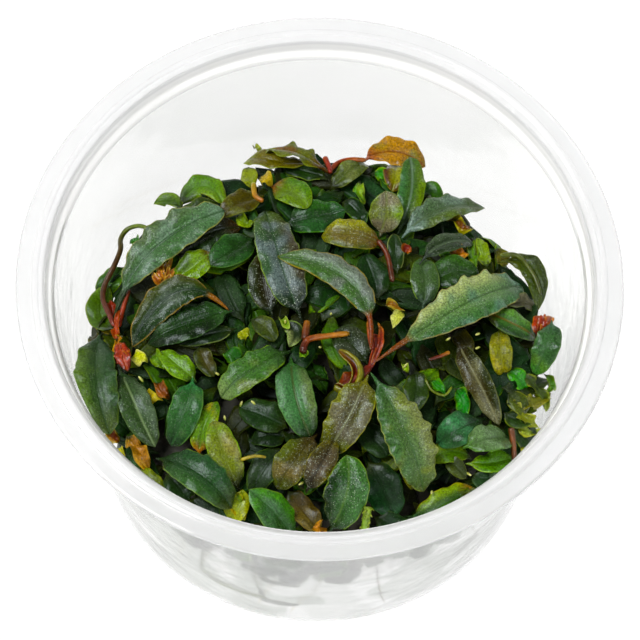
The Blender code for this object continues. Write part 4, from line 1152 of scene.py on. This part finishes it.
def grow_spiked_bud(bm, stalk, chance):
    """A bud of narrow scales that stand up from one foot and fan out, pale at their tips."""
    lift = settled_lift(settled_corners(stalk.name), *stalk.route[0], 1)
    foot = raised(*SPIKE_FOOT, lift - 1.2)
    for k, (x, y) in enumerate(SPIKE_TIPS):
        tip = raised(x, y, lift + chance.uniform(-1.0, 1.2))
        leaf = Leaf("spike_%d" % k, None, None, None, chance.uniform(1.0, 1.5), 0.04, 0, 0.2,
                    "lance", look("C87E1C", heel="9A3E10", tip="EBD9A0", left="B8601A",
                                  rim="E0B860", rib="9A4A14"))
        middle = (foot + tip) / 2 + Vector((chance.uniform(-0.3, 0.3), -0.5, 0.6))
        up = Vector((chance.uniform(-0.6, 0.6), -0.6, 1))
        grow_free_leaf(bm, leaf, foot, middle, tip, up, 0.0, 10, 12)


SHEATH_CORE = 0.4


def grow_sheath(bm, stalk, scales):
    """A torn sheath: a slim core between pointed, folded scales.

    Each scale says how far its tip is pushed sideways, on and up, its width and its colours.
    """
    points = settled_stalk(stalk)
    grow_stem(bm, points,
              lambda share, around: SHEATH_CORE * (1 - 0.5 * share) * rounded_ends(share),
              stalk_tints(stalk.colours), 10, 20)
    ahead = (points[-1] - points[0]).normalized()
    right, normal = sides_of(ahead)
    for k, (aside, onward, lift, width, codes) in enumerate(scales):
        start = points[0] + right * aside * 0.2
        end = points[-1] + right * aside + ahead * onward + normal * lift
        middle = curve_point(points, 0.5) + right * aside * 0.75 + normal * (0.5 + lift)
        first, second, third = codes
        leaf = Leaf(stalk.name + str(k), None, None, None, width, 0.02, 0, 0.25, "oval",
                    look(second, heel=first, tip=third, rim=third, rib=first))
        up = normal + right * aside * 0.5
        grow_free_leaf(bm, leaf, start, middle, end, up, 0.0, 14, 18)


SHEATH_SCALES = {
    "red_stem": ((0.4, -0.8, 0.2, 1.2, ("7A1A08", "B83A14", "D07A3A")),
                 (-0.4, -3.0, 0.3, 1.1, ("6A1406", "9A2A0C", "B84818"))),
    "red_sheath": ((0.1, 0.5, 0.4, 2.5, ("B84A10", "A82C08", "6A1806")),
                   (0.9, -1.3, 0.3, 1.5, ("C86A18", "B83C0C", "8A2408")),
                   (-1.0, -3.2, 0.5, 1.5, ("D09A20", "D0701A", "B03A10"))),
    "red_bud": ((-0.5, -0.9, 0.3, 2.4, ("6A1A08", "B03408", "C87A24")),
                (1.2, -0.3, 0.2, 2.1, ("7A2A0A", "B84A10", "C88434")),
                (0.3, -2.6, 0.8, 1.9, ("6A1208", "A02A06", "A85A18"))),
}

# Spikes of the scaly bud: tips in plan that fan out from its foot
SPIKE_FOOT = (-26.2, 2.0)
SPIKE_TIPS = ((-28.3, 4.9), (-27.7, 6.8), (-26.9, 7.9), (-26.0, 6.9), (-24.9, 7.8), (-24.3, 5.6),
              (-25.2, 4.4), (-27.0, 5.6), (-25.6, 6.2))


def grow_scales(bm, stalk, count, codes, length, chance):
    """Pointed scales that stand off a stalk along its length."""
    points = settled_stalk(stalk)
    for k in range(count):
        share = 0.06 + 0.9 * k / count
        centre = curve_point(points, share)
        ahead = (curve_point(points, share + 0.05) - centre).normalized()
        right, normal = sides_of(ahead)
        turn = chance.uniform(-0.15, 0.65) * math.tau
        out = right * math.cos(turn) + normal * math.sin(turn)
        foot = centre + out * stalk_radius(stalk, share) * 0.8
        reach = length * chance.uniform(0.6, 1.3)
        tip = inside_cup(foot + out * reach * 0.7 + ahead * reach * 0.6)
        first, second = chance.choice(codes)
        grow_spike(bm, foot, tip, 0.24 * chance.uniform(0.7, 1.3), first, second)


def grow_rolled_leaf(bm, stalk):
    """A leaf that has rolled into a ring: a dark red trough with an olive-yellow rim."""
    points = settled_stalk(stalk)
    inner, outer, edge = stalk_tints(("6A1E06", "8A8A2A", "B0A83A"))
    along = stalk_tints(stalk.colours)
    rows = 60

    def spot_of(around, row):
        share = row / rows
        centre = curve_point(points, share)
        if row in (0, rows):
            return stem_spot(inside_cup(centre), outer)
        right, normal = sides_of(course(points, share))
        # the section is a thin trough: out along its outer face and back along the inner one
        radius = stalk_radius(stalk, share) * 1.15 * rounded_ends(share, 0.10, 0.05)
        outside = around < 0.5
        swing = around * 2 if outside else 2 - around * 2
        turn = math.radians(15 - 290 * swing)
        reach = radius * (1.0 if outside else 0.72)
        spot = centre + (right * math.cos(turn) + normal * math.sin(turn)) * reach
        tint = (outer if outside else inner).lerp(edge, smooth(0.78, 1.0, abs(2 * swing - 1)))
        tint = tint.lerp(curve_point(along, share), 0.35 * (1 - smooth(0, 0.3, share)))
        return stem_spot(inside_cup(spot), tint)
    grow_skin(bm, 24, rows, spot_of)


# How far a small leaf lies behind what covers it, and how deep it may sink
TUCK_GAP = 1.0
TUCK_DEPTH = 14.0


def tuck_under(leaf, lifts, above):
    """Lowers a small leaf until what lies over it, seen from the eye, hides what it should.

    Returns the lifts, or None where it would sink too deep.
    """
    lifts = list(lifts)
    for _ in range(30):
        lack, where = 0.0, 0.0
        for k in range(7):
            share = k / 6
            centre = midrib(leaf, lifts, share)
            half = half_width(leaf, share) * 0.9
            ahead = midrib(leaf, lifts, share + NEAR) - midrib(leaf, lifts, share - NEAR)
            right = sides_of(ahead)[0]
            for side in (-1, -0.5, 0, 0.5, 1):
                spot = centre + right * side * half
                ray = spot - EYE
                hit = above.ray_cast(EYE, ray)
                if hit[0] is not None and hit[3] + TUCK_GAP - ray.length > lack:
                    lack, where = hit[3] + TUCK_GAP - ray.length, share
        if lack < 0.03:
            return lifts
        weights = lift_weights(where)
        fall = (lack + 0.03) / sum(weight ** 2 for weight in weights)
        lifts = [lift - fall * weight for lift, weight in zip(lifts, weights)]
        if min(lifts) < -TUCK_DEPTH:
            return None
    return lifts


def named_solids():
    """The solids of all named leaves and stalks as one tree for rays."""
    whole = bmesh.new()
    for name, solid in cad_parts.items():
        if name not in ("cup", "lower_growth"):
            whole.from_mesh(solid.data)
    bmesh.ops.scale(whole, vec=Vector((1, 1, 1)) / MILLIMETRE, verts=whole.verts[:])
    tree = BVHTree.FromBMesh(whole)
    whole.free()
    return tree


SHADE_LOOKS = (
    look("1E4420", heel="2A3A16", tip="285226", left="183818", rim="4E7A2A"),
    look("1A3A24", heel="223A1C", right="28503A", rim="447048"),
    look("2A5220", heel="3A4A18", tip="4A7A20", rim="78A030", patch="3A7034", spread=0.3),
    look("20382A", heel="26381E", right="305042", rim="4A704A", patch="3E5E50", spread=0.3),
    look("4A5E16", heel="464A14", tip="7A9420", rim="90A030"),
    look("224430", tip="3E6E38", heel="24361A", rim="5A8A40", patch="3E6E52", spread=0.35),
    look("4E7C1A", heel="4A5A18", tip="86B424", rim="A0C03A"),
    look("263018", heel="2C2C14", tip="34401C", right="323A24", rim="5A6A38"),
)

# How far the clump reaches from its middle line in plan, by direction in degrees
CLUMP_MIDDLE_Y = -2.5
CLUMP_REACH = ((0, 39.5), (11, 37.2), (22, 33), (30, 31), (50, 29.5), (61, 32.5), (76, 33),
               (95, 32.5), (113, 31.5), (128, 29.5), (142, 32), (155, 36), (170, 37),
               (180, 38.5), (270, 39), (360, 39.5))


def clump_radius(turn):
    """How far the clump reaches from its middle in a direction, at its top."""
    degrees = math.degrees(turn) % 360
    for (low, near), (high, far) in zip(CLUMP_REACH, CLUMP_REACH[1:]):
        if degrees <= high:
            return near + (far - near) * (degrees - low) / (high - low)
    return CLUMP_REACH[0][1]


def inside_clump(spot):
    """True where a point in plan lies within the clump's outline."""
    aside = (spot[0], spot[1] - CLUMP_MIDDLE_Y)
    return math.hypot(*aside) < clump_radius(math.atan2(aside[1], aside[0]))


def under_leaf(chance, k):
    """A chance small leaf of the clump's top, whose midrib lies within its outline."""
    while True:
        turn = chance.uniform(0, math.tau)
        out = math.sqrt(chance.uniform(0.0, 1.0)) * clump_radius(turn)
        middle = Vector((out * math.cos(turn), CLUMP_MIDDLE_Y + out * math.sin(turn)))
        head = turn + chance.gauss(0, 1.0)
        length = chance.uniform(8.0, 14.5)
        ahead = Vector((math.cos(head), math.sin(head)))
        bend = Vector((-ahead.y, ahead.x)) * chance.uniform(-0.16, 0.16) * length
        base = middle - ahead * length / 2
        tip = middle + ahead * length / 2
        if inside_clump(base) and inside_clump(tip) and inside_clump(middle):
            break
    return Leaf("under_%d" % k, tuple(base), tuple(middle + bend), tuple(tip),
                length * chance.uniform(0.30, 0.44), 0.10, chance.uniform(-20, 20),
                chance.uniform(0.2, 0.55), chance.choice(("oval", "lance", "strap", "drop")),
                chance.choice(SHADE_LOOKS))


def side_leaf_stations(leaf, start, middle, end, up, tilt, rows):
    """The stations of a leaf that stands free in space.

    up is the way its upper face looks, and tilt turns it round its length.
    """
    length = (middle - start).length + (end - middle).length
    stations = []
    for row in range(rows + 1):
        share = row / rows
        ahead = (bow(start, middle, end, min(1, share + NEAR))
                 - bow(start, middle, end, max(0, share - NEAR)))
        right = sides_of(ahead, up)[0]
        right.rotate(Matrix.Rotation(tilt, 3, ahead))
        normal = right.cross(ahead).normalized()
        blade = max(0.0, (share - leaf.stalk) / (1 - leaf.stalk))
        stations.append(Station(bow(start, middle, end, share), right, normal,
                                half_width(leaf, share), blade, share * length,
                                1 - smooth(leaf.stalk, leaf.stalk + PETIOLE_BLEND, share),
                                leaf.ruffle))
    return stations


# Thickness of a free leaf, scale or sheath at its midrib
FREE_THICKNESS = 0.3


def grow_free_leaf(bm, leaf, start, middle, end, up, tilt, columns, rows, painted_light_level=1.0):
    """Adds a leaf, scale or sheath that stands free in space. A light level below 1 darkens its
    colours as painted shade.
    """
    stations = side_leaf_stations(leaf, start, middle, end, up, tilt, rows)
    colours = painted(leaf.look, painted_light_level)
    chance = random.Random(leaf.name)
    waves = (chance.uniform(0.6, 2.2), chance.uniform(1.6, 2.4), chance.uniform(0, 3))
    grow_skin(bm, columns, rows, lambda around, row: blade_spot(
        leaf, colours, stations, waves, FREE_THICKNESS, around, row))


# How far the light table reaches from its middle, in metres
TABLE_REACH = 2.0


class PLANTCUP_OT_stage(bpy.types.Operator):
    """Set up the light table, the lights and the camera over the cup"""
    bl_idname = "plant_cup.stage"
    bl_label = "Build Stage"

    def execute(self, context):
        settings = context.scene.plant_cup_stage
        bm = bmesh.new()
        bmesh.ops.create_grid(bm, x_segments=2, y_segments=2, size=TABLE_REACH)
        mesh = bpy.data.meshes.new("floor")
        bm.to_mesh(mesh)
        bm.free()
        mesh.materials.append(table_material())
        floor = bpy.data.objects.new("floor", mesh)
        context.scene.collection.objects.link(floor)

        # white walls all round, and a dark ceiling
        world = bpy.data.worlds.new("studio")
        world.use_nodes = True
        tree = world.node_tree
        where = add(tree, "TexCoord").outputs["Generated"]
        height = add(tree, "SeparateXYZ", {"Vector": where}).outputs["Z"]
        share = add(tree, "MapRange", {"Value": height, "From Min": 0.15,
                                       "From Max": 0.5}).outputs[0]
        sky = mix_colours(tree, share, paint("E7E7E6"), paint("555656"))
        tree.links.new(sky, tree.nodes["Background"].inputs["Color"])
        context.scene.world = world

        add_light("key_light", (-0.34, 0.04, 0.76), 0.38, settings.key, "FFFEFA")
        add_light("front_light", (0.34, -0.52, 0.58), 0.40, settings.key * 0.38, "FFFFFD")
        add_camera()
        context.scene.view_settings.view_transform = "Standard"
        return {"FINISHED"}


# What the lights face, in metres
CLUMP_HEART = Vector((0, 0, 0.045))


def add_light(name, place, size, power, code):
    """A square soft light of a hex colour that faces the clump. Its place is in metres."""
    lamp = bpy.data.lights.new(name, "AREA")
    lamp.shape = "SQUARE"
    lamp.size = size
    lamp.energy = power
    lamp.color = colour(code)
    light = bpy.data.objects.new(name, lamp)
    light.location = place
    away = Vector(place) - CLUMP_HEART
    light.rotation_euler = away.to_track_quat("Z", "Y").to_euler()
    bpy.context.scene.collection.objects.link(light)


# The camera: its distance from the rim's middle in mm, how high it stands and how it is turned
# in degrees, and its focal length in pixels of a picture 640 wide
EYE_DISTANCE = 450.0
EYE_HEIGHT_ANGLE = 63.0
PITCH, YAW, ROLL = 0.95, 0.05, 1.5
FOCAL_PIXELS = 2739.0
PICTURE_PIXELS = 640.0


def add_camera():
    """The camera over the front of the cup."""
    angle = math.radians(EYE_HEIGHT_ANGLE)
    dip, yaw, roll = math.radians(EYE_HEIGHT_ANGLE + PITCH), math.radians(YAW), math.radians(ROLL)
    ahead = Vector((math.sin(yaw) * math.cos(dip), math.cos(yaw) * math.cos(dip), -math.sin(dip)))
    right, up = sides_of(ahead)
    right, up = (right * math.cos(roll) + up * math.sin(roll),
                 up * math.cos(roll) - right * math.sin(roll))
    place = Vector((0, -math.cos(angle), math.sin(angle))) * EYE_DISTANCE
    place += Vector((0, 0, CUP_HEIGHT))
    lens = bpy.data.cameras.new("camera")
    lens.sensor_width = 36.0
    lens.lens = FOCAL_PIXELS * lens.sensor_width / PICTURE_PIXELS
    lens.clip_start = 0.01
    camera = bpy.data.objects.new("camera", lens)
    turn = Matrix((right, up, -ahead)).transposed().to_4x4()
    camera.matrix_world = Matrix.Translation(place * MILLIMETRE) @ turn
    bpy.context.scene.collection.objects.link(camera)
    bpy.context.scene.camera = camera


def slope(start, end, shares):
    """Points between two points of a section, at shares of the way."""
    return [(start[0] + (end[0] - start[0]) * share, start[1] + (end[1] - start[1]) * share)
            for share in shares]


def cup_section():
    """The cup's section as (radius, height), from the middle of the underside to the floor's.

    Long straight runs hold more points near their ends, so that shading stays flat along them.
    """
    runs = (0.01, 0.03, 0.1, 0.25, 0.4, 0.55, 0.7, 0.85, 0.95, 0.99)
    turns = [math.radians(15 * k) for k in range(7)]
    outer = [(BASE_RADIUS - BASE_FILLET * (1 - math.sin(turn)), BASE_FILLET * (1 - math.cos(turn)))
             for turn in turns]
    inner = BASE_FILLET - WALL
    hollow = [(BASE_RADIUS - WALL - inner * (1 - math.sin(turn)),
               FLOOR + inner * (1 - math.cos(turn))) for turn in reversed(turns)]
    wall_top = (WALL_TOP_RADIUS, WALL_TOP_HEIGHT)
    hollow_top = (WALL_TOP_RADIUS - WALL, WALL_TOP_HEIGHT)
    rim = [wall_top, (45.0, 55.75), (45.35, 56.1), (45.52, 56.5), (45.58, 56.9),
           (COLLAR_RADIUS, 57.3), (COLLAR_RADIUS, 58.8), (45.64, 58.93), (45.75, 59.0),
           (46.0, 59.0), (47.5, 59.0), (49.3, 59.0), (49.6, 59.02), (49.85, 59.12),
           (RIM_RADIUS, 59.35), (49.9, 59.58), (49.7, 59.68), (49.4, 59.7), (47.6, 59.7),
           (47.42, 59.71), (47.34, 59.78), (47.28, 59.92), (47.2, 59.98),
           (BEAD_RADIUS, CUP_HEIGHT), (46.5, 59.98), (46.42, 59.92), (46.36, 59.78),
           (46.28, 59.71), (46.1, 59.7), (45.5, 59.7), (LIP_RADIUS, 59.62), (45.12, 59.4),
           (45.08, 59.1), (45.0, 57.6), (44.97, 57.3), (44.85, 57.05), (LEDGE_RADIUS, 56.9),
           (44.2, 56.45), (44.0, 56.15), (43.93, 55.8), hollow_top]
    # the underside is sunk inside a narrow foot
    foot = [(0.0, 0.45), (20.0, 0.45), (33.5, 0.45), (34.2, 0.44), (34.5, 0.36), (34.65, 0.1),
            (34.8, 0.02), (35.1, 0.0)]
    return (foot + outer
            + slope(outer[-1], wall_top, runs) + rim + slope(hollow_top, hollow[0], runs)
            + hollow + slope(hollow[-1], (0, FLOOR), (0.05, 0.5)) + [(0.0, FLOOR)])


class PLANTCUP_OT_cup(bpy.types.Operator):
    """Turn the clear plastic cup"""
    bl_idname = "plant_cup.cup"
    bl_label = "Build Cup"

    def execute(self, context):
        bm = bmesh.new()
        section = [bm.verts.new((radius, 0, height)) for radius, height in cup_section()]
        edges = [bm.edges.new(pair) for pair in zip(section, section[1:])]
        bmesh.ops.spin(bm, geom=section + edges, cent=(0, 0, 0), axis=(0, 0, 1), angle=math.tau,
                       steps=context.scene.plant_cup_cup.turns, use_merge=True)
        bmesh.ops.remove_doubles(bm, verts=bm.verts[:], dist=MERGE_DISTANCE)
        # from the top of the wall on, the plastic is milky
        for face in bm.faces:
            face.material_index = int(face.calc_center_median().z > WALL_TOP_HEIGHT)
        cup = finish_piece(bm, "clear_cup", [cup_material(), rim_material()], ["cup"])
        cup.data.set_sharp_from_angle(angle=math.radians(50))
        cup.visible_shadow = False
        return {"FINISHED"}


# Blades from this width on are made in finer steps
WIDE_BLADE = 5.5


class PLANTCUP_OT_leaves(bpy.types.Operator):
    """Grow the large leaves, each where its solid lies"""
    bl_idname = "plant_cup.leaves"
    bl_label = "Grow Leaves"

    def execute(self, context):
        materials = [leaf_material("satin_leaf", 0.26, 0.8, 0.5, gloss=0.36)]
        for leaf in LEAVES:
            bm = bmesh.new()
            rows = 36 if leaf.width < WIDE_BLADE else 48
            grow_leaf(bm, leaf, settled_lifts(leaf), 28, rows)
            finish_piece(bm, leaf.name + "_blade", materials, [leaf.name])
        return {"FINISHED"}


class PLANTCUP_OT_stalks(bpy.types.Operator):
    """Grow the stems, buds and sheaths that stand out between the leaves"""
    bl_idname = "plant_cup.stalks"
    bl_label = "Grow Stems and Buds"

    def execute(self, context):
        chance = random.Random("scales")
        stem = stem_material()
        sheath = leaf_material("satin_sheath", 0.30, 0.15, 0.3)
        for stalk in STALKS:
            bm = bmesh.new()
            if stalk.name == "cut_stem":
                grow_cut_stem(bm, stalk)
            elif stalk.name == "rolled_leaf":
                grow_rolled_leaf(bm, stalk)
            elif stalk.name == "scaly_bud":
                grow_spiked_bud(bm, stalk, chance)
            elif stalk.name in SHEATH_SCALES:
                grow_sheath(bm, stalk, SHEATH_SCALES[stalk.name])
            else:
                grow_plain_stem(bm, stalk)
            if stalk.name == "fringed_stalk":
                grow_scales(bm, stalk, 26, (("8AA02A", "B8C86A"), ("5E7A1A", "9AB040")), 0.55,
                            chance)
            scaly = stalk.name in SHEATH_SCALES or stalk.name == "scaly_bud"
            material = sheath if scaly else stem
            finish_piece(bm, stalk.name + "_skin", [material], [stalk.name])
        return {"FINISHED"}


FRILL_WIDTH = 2.7


def small_leaf(small, k):
    """A Small as a Leaf. The smallest are frills, with the most ruffled margins."""
    body, far, rim = small.colours.split()
    return Leaf("small_%d" % k, small.base, small.middle, small.tip, small.width, 0.06, 0,
                1.2 if small.width < FRILL_WIDTH else 0.35, small.form,
                look(body, heel="2E3E12", tip=far, right=far, rim=rim, patch=far, spread=0.3))


class PLANTCUP_OT_small_leaves(bpy.types.Operator):
    """Grow the small leaves, frills and petioles that show between the large leaves"""
    bl_idname = "plant_cup.small_leaves"
    bl_label = "Grow Small Leaves"

    def execute(self, context):
        above = named_solids()
        bm = bmesh.new()
        for k, small in enumerate(SMALL_LEAVES):
            leaf = small_leaf(small, k)
            start = (small.lift - 1.2, small.lift, small.lift - 0.8)
            lifts = tuck_under(leaf, start, above) or start
            grow_leaf(bm, leaf, lifts, 16, 20, vigour=1.4 if small.width < 3 else 1.0)
        young = leaf_material("young_leaf", 0.32, 0.45, 0.4, gloss=0.32)
        finish_growth(bm, "small_leaves", young)

        bm = bmesh.new()
        for twig in TWIGS:
            points = [raised(x, y, twig.lift) for x, y in twig.route]
            grow_stem(bm, points, lambda share, around: bow(*twig.radii, share)
                      * rounded_ends(share, 0.08, 0.08), stalk_tints(twig.colours.split()),
                      10, 20)
        # painted glints: pale dots where nothing covers them
        for x, y in PAINTED_GLINT_DOTS:
            foot = raised(x, y, 0.2)
            hit = above.ray_cast(EYE, foot - EYE)
            if hit[0] is None:
                lean = Vector((math.cos(7 * x), math.sin(5 * y), 0.6)) * 0.45
                grow_stem(bm, [foot - lean, foot, foot + lean],
                          lambda share, around: 0.21 * rounded_ends(share, 0.4, 0.4),
                          stalk_tints(("8AA040", "D8E0A0", "F0F0D0")), 8, 6)
        finish_growth(bm, "petioles", stem_material())
        return {"FINISHED"}


# Leaves of the lower growth that lie against the cup's wall at the front: heel, middle, tip
# and width
PRESSED_LEAVES = (
    ((-15, -27, 27), (-8.6, -38.8, 24.4), (-1.6, -39.8, 23.0), 2.2),
    ((-14, -22, 13), (-8.2, -37.6, 10.8), (-2.2, -38.6, 11.0), 2.8),
    ((24, -24, 20), (27.5, -29.5, 21), (24.5, -31.8, 16), 2.4),
)
# A bare runner that lies along the wall under them
RUNNER = ((-16, -22, 14), (-19.2, -31.5, 12.6), (-17.4, -34.2, 11.2), (-12.6, -36.2, 9.9),
          (-7.6, -37.8, 10.9))


class PLANTCUP_OT_undergrowth(bpy.types.Operator):
    """Grow the small leaves of the lower growth, on its top and round its side"""
    bl_idname = "plant_cup.undergrowth"
    bl_label = "Grow Undergrowth"

    def execute(self, context):
        settings = context.scene.plant_cup_growth
        above = named_solids()
        shaded = leaf_material("shaded_leaf", 0.40, 0.45, 0.4, gloss=0.16)
        bm = bmesh.new()
        chance = random.Random("undergrowth")
        for k in range(settings.top_leaves):
            leaf = under_leaf(chance, k)
            start = chance.uniform(-6.0, -1.8)
            lifts = tuck_under(leaf, (start - 1.5, start, start - 1.2), above)
            if lifts:
                # painted shade: the deeper a leaf lies, the darker its colours are made
                painted_light_level = 0.95 - 0.13 * min(5.0, -1.8 - lifts[1])
                grow_leaf(bm, leaf, lifts, 8, 7, painted_light_level=max(0.3, painted_light_level))
        finish_growth(bm, "under_leaves", shaded)

        bm = bmesh.new()
        chance = random.Random("side")
        for k in range(settings.side_leaves):
            grow_side_leaf(bm, chance, k)
        finish_growth(bm, "side_leaves", shaded)

        bm = bmesh.new()
        for k, (heel, middle, tip, width) in enumerate(PRESSED_LEAVES):
            leaf = Leaf("pressed_%d" % k, None, None, None, width, 0.40, 0, 0.3, "strap",
                        look("3A4A30", heel="6A7A34", tip="34402A", rim="5A6A34"))
            out = Vector((middle[0], middle[1], 0)).normalized()
            grow_free_leaf(bm, leaf, Vector(heel), Vector(middle), Vector(tip), out, 0.0, 12, 24)
        grow_stem(bm, [Vector(point) for point in RUNNER],
                  lambda share, around: 0.34 * rounded_ends(share),
                  stalk_tints(("4A5A20", "7A8A3A", "8A9A4A")), 8, 30)
        finish_growth(bm, "pressed_leaves", shaded)
        return {"FINISHED"}


def side_radius(height):
    """How far the clump's side reaches from its middle at a height."""
    last = GROWTH_SIDE[0]
    for step in GROWTH_SIDE[1:]:
        if height <= step[0]:
            share = (height - last[0]) / (step[0] - last[0])
            return last[1] + (step[1] - last[1]) * max(0.0, share)
        last = step
    return last[1]


def side_point(turn, height, out):
    """A point of the clump's side, out from it by some millimetres."""
    radius = side_radius(height)
    spread = radius / GROWTH_RADIUS
    x = (radius + out) * math.cos(turn)
    y = (radius + out) * math.sin(turn) + GROWTH_SHIFT * spread
    y -= GROWTH_BACK_PULL * spread * max(0.0, math.sin(turn)) ** 2
    return Vector((x, y, height))


def grow_side_leaf(bm, chance, k):
    """A leaf of the clump's side: it stands out from the mass and droops at its tip."""
    turn = chance.uniform(0, math.tau)
    # more of them stand high up than low down
    height = 4 + 40 * chance.uniform(0, 1) ** 0.75
    length = chance.uniform(6, 12)
    swing = chance.gauss(0, 0.22)
    climb = chance.uniform(-0.5, 0.9) * length
    back = max(0.0, math.sin(turn))
    start = side_point(turn, height, -2.5 - 1.5 * back)
    middle = side_point(turn + swing * 0.5, min(SIDE_TOP, height + climb * 0.6),
                        chance.uniform(0.4, 2.0) - 2 * back)
    end = side_point(turn + swing, min(SIDE_TOP, height + climb) - chance.uniform(0, 3.0),
                     chance.uniform(0.8, 3.0) - 2.5 * back)
    leaf = Leaf("side_%d" % k, None, None, None, length * chance.uniform(0.36, 0.52), 0.10, 0,
                0.2, chance.choice(("oval", "strap", "spoon")), chance.choice(SHADE_LOOKS))
    out = Vector((math.cos(turn), math.sin(turn), 0.8))
    # painted shade: every side leaf's colours are darkened to 0.85
    grow_free_leaf(bm, leaf, start, middle, end, out, math.radians(chance.uniform(-30, 30)),
                   8, 6, painted_light_level=0.85)


# The mat of stems: rows of its skin, the share of them at its side, the heights of its foot and
# of its side's top, and how deep it lies in the clump
MAT_ROWS = 40
MAT_SIDE = 0.55
MAT_FOOT = 1.6
MAT_TOP = 40
MAT_DEPTH = 1.6
# How far a root goes in one stride
ROOT_STRIDE = 2.6


class PLANTCUP_OT_roots(bpy.types.Operator):
    """Grow the mat of stems, near black as painted shade in the clump's depths, and the roots that
    wander over the cup's floor
    """
    bl_idname = "plant_cup.roots"
    bl_label = "Grow Stem Mat and Roots"

    def execute(self, context):
        settings = context.scene.plant_cup_growth
        fibrous = root_material()
        bm = bmesh.new()
        # painted shade: the mat is near black, as the clump's depths lie in shade
        dark, brown = colour("1A1C10"), colour("2A2414")

        def mat_spot(around, row):
            """A point of the mat: it rises at the side, and then closes over the top."""
            share = row / MAT_ROWS
            turn = math.tau * around
            if row == 0:
                point = Vector((0, GROWTH_SHIFT * 0.5, 1.5))
            elif share < MAT_SIDE:
                height = MAT_FOOT + (MAT_TOP - MAT_FOOT) * share / MAT_SIDE
                point = side_point(turn, height, -MAT_DEPTH)
            else:
                inward = 1 - (share - MAT_SIDE) / (1 - MAT_SIDE)
                point = side_point(turn, MAT_TOP, -MAT_DEPTH)
                point = Vector((point.x * inward, (point.y + 3) * inward - 3, 0))
                point.z = canopy(point.x, point.y) - 7.5
            rough = noise.noise(point * 0.22) * 1.6 + noise.noise(point * 0.7) * 0.7
            if 0 < row < MAT_ROWS:
                point += Vector((math.cos(turn), math.sin(turn), 0.6)) * rough
            pick = 0.5 + noise.noise(point * 0.4)
            return stem_spot(inside_cup(point), dark.lerp(brown, min(1, max(0, pick))))
        grow_skin(bm, 96, MAT_ROWS, mat_spot)
        finish_growth(bm, "stem_mat", fibrous)

        bm = bmesh.new()
        chance = random.Random("roots")
        for _ in range(settings.roots):
            turn = chance.uniform(0, math.tau)
            points = [side_point(turn, chance.uniform(3, 16), -1.5)]
            heading = turn
            for _ in range(4):
                heading += chance.gauss(0, 0.5)
                drop = (points[-1].z - FLOOR - 0.5) * 0.5
                stride = Vector((math.cos(heading) * ROOT_STRIDE,
                                 math.sin(heading) * ROOT_STRIDE, -drop))
                points.append(inside_cup(points[-1] + stride))
            width = chance.uniform(0.16, 0.34)
            tints = stalk_tints(chance.choice((("3A2E1A", "8A7448", "D8CCA8"),
                                               ("3A2A18", "6A5230", "A89060"),
                                               ("2E2414", "5A4424", "8A6E3E"))))
            grow_stem(bm, points, lambda share, around: width * (1 - 0.55 * share), tints, 6, 18)
        finish_growth(bm, "roots", fibrous)
        return {"FINISHED"}


class PLANTCUP_PT_panel(bpy.types.Panel):
    """Lists the settings and the pieces of the cup and its plants"""
    bl_idname = "PLANTCUP_PT_panel"
    bl_label = "Plant Cup"
    bl_space_type = "VIEW_3D"
    bl_region_type = "UI"
    bl_category = "Plant Cup"

    def draw(self, context):
        for settings in (context.scene.plant_cup_stage, context.scene.plant_cup_cup,
                         context.scene.plant_cup_leaves, context.scene.plant_cup_growth):
            box = self.layout.box()
            for name in settings.__annotations__:
                box.prop(settings, name)
        column = self.layout.column(align=True)
        for operator in OPERATORS:
            column.operator(operator.bl_idname)


GROUPS = (PlantCupStage, PlantCupCup, PlantCupLeaves, PlantCupGrowth)
OPERATORS = (PLANTCUP_OT_stage, PLANTCUP_OT_cup, PLANTCUP_OT_leaves, PLANTCUP_OT_stalks,
             PLANTCUP_OT_small_leaves, PLANTCUP_OT_undergrowth, PLANTCUP_OT_roots)
CLASSES = GROUPS + OPERATORS + (PLANTCUP_PT_panel,)


def register():
    for kind in CLASSES:
        bpy.utils.register_class(kind)
    scene = bpy.types.Scene
    scene.plant_cup_stage = bpy.props.PointerProperty(type=PlantCupStage)
    scene.plant_cup_cup = bpy.props.PointerProperty(type=PlantCupCup)
    scene.plant_cup_leaves = bpy.props.PointerProperty(type=PlantCupLeaves)
    scene.plant_cup_growth = bpy.props.PointerProperty(type=PlantCupGrowth)


def unregister():
    for name in ("plant_cup_stage", "plant_cup_cup", "plant_cup_leaves", "plant_cup_growth"):
        delattr(bpy.types.Scene, name)
    for kind in reversed(CLASSES):
        bpy.utils.unregister_class(kind)


def main():
    """Builds the stage and all pieces."""
    register()
    bpy.ops.plant_cup.stage()
    bpy.ops.plant_cup.cup()
    bpy.ops.plant_cup.leaves()
    bpy.ops.plant_cup.stalks()
    bpy.ops.plant_cup.small_leaves()
    bpy.ops.plant_cup.undergrowth()
    bpy.ops.plant_cup.roots()


if __name__ == "__main__":
    main()
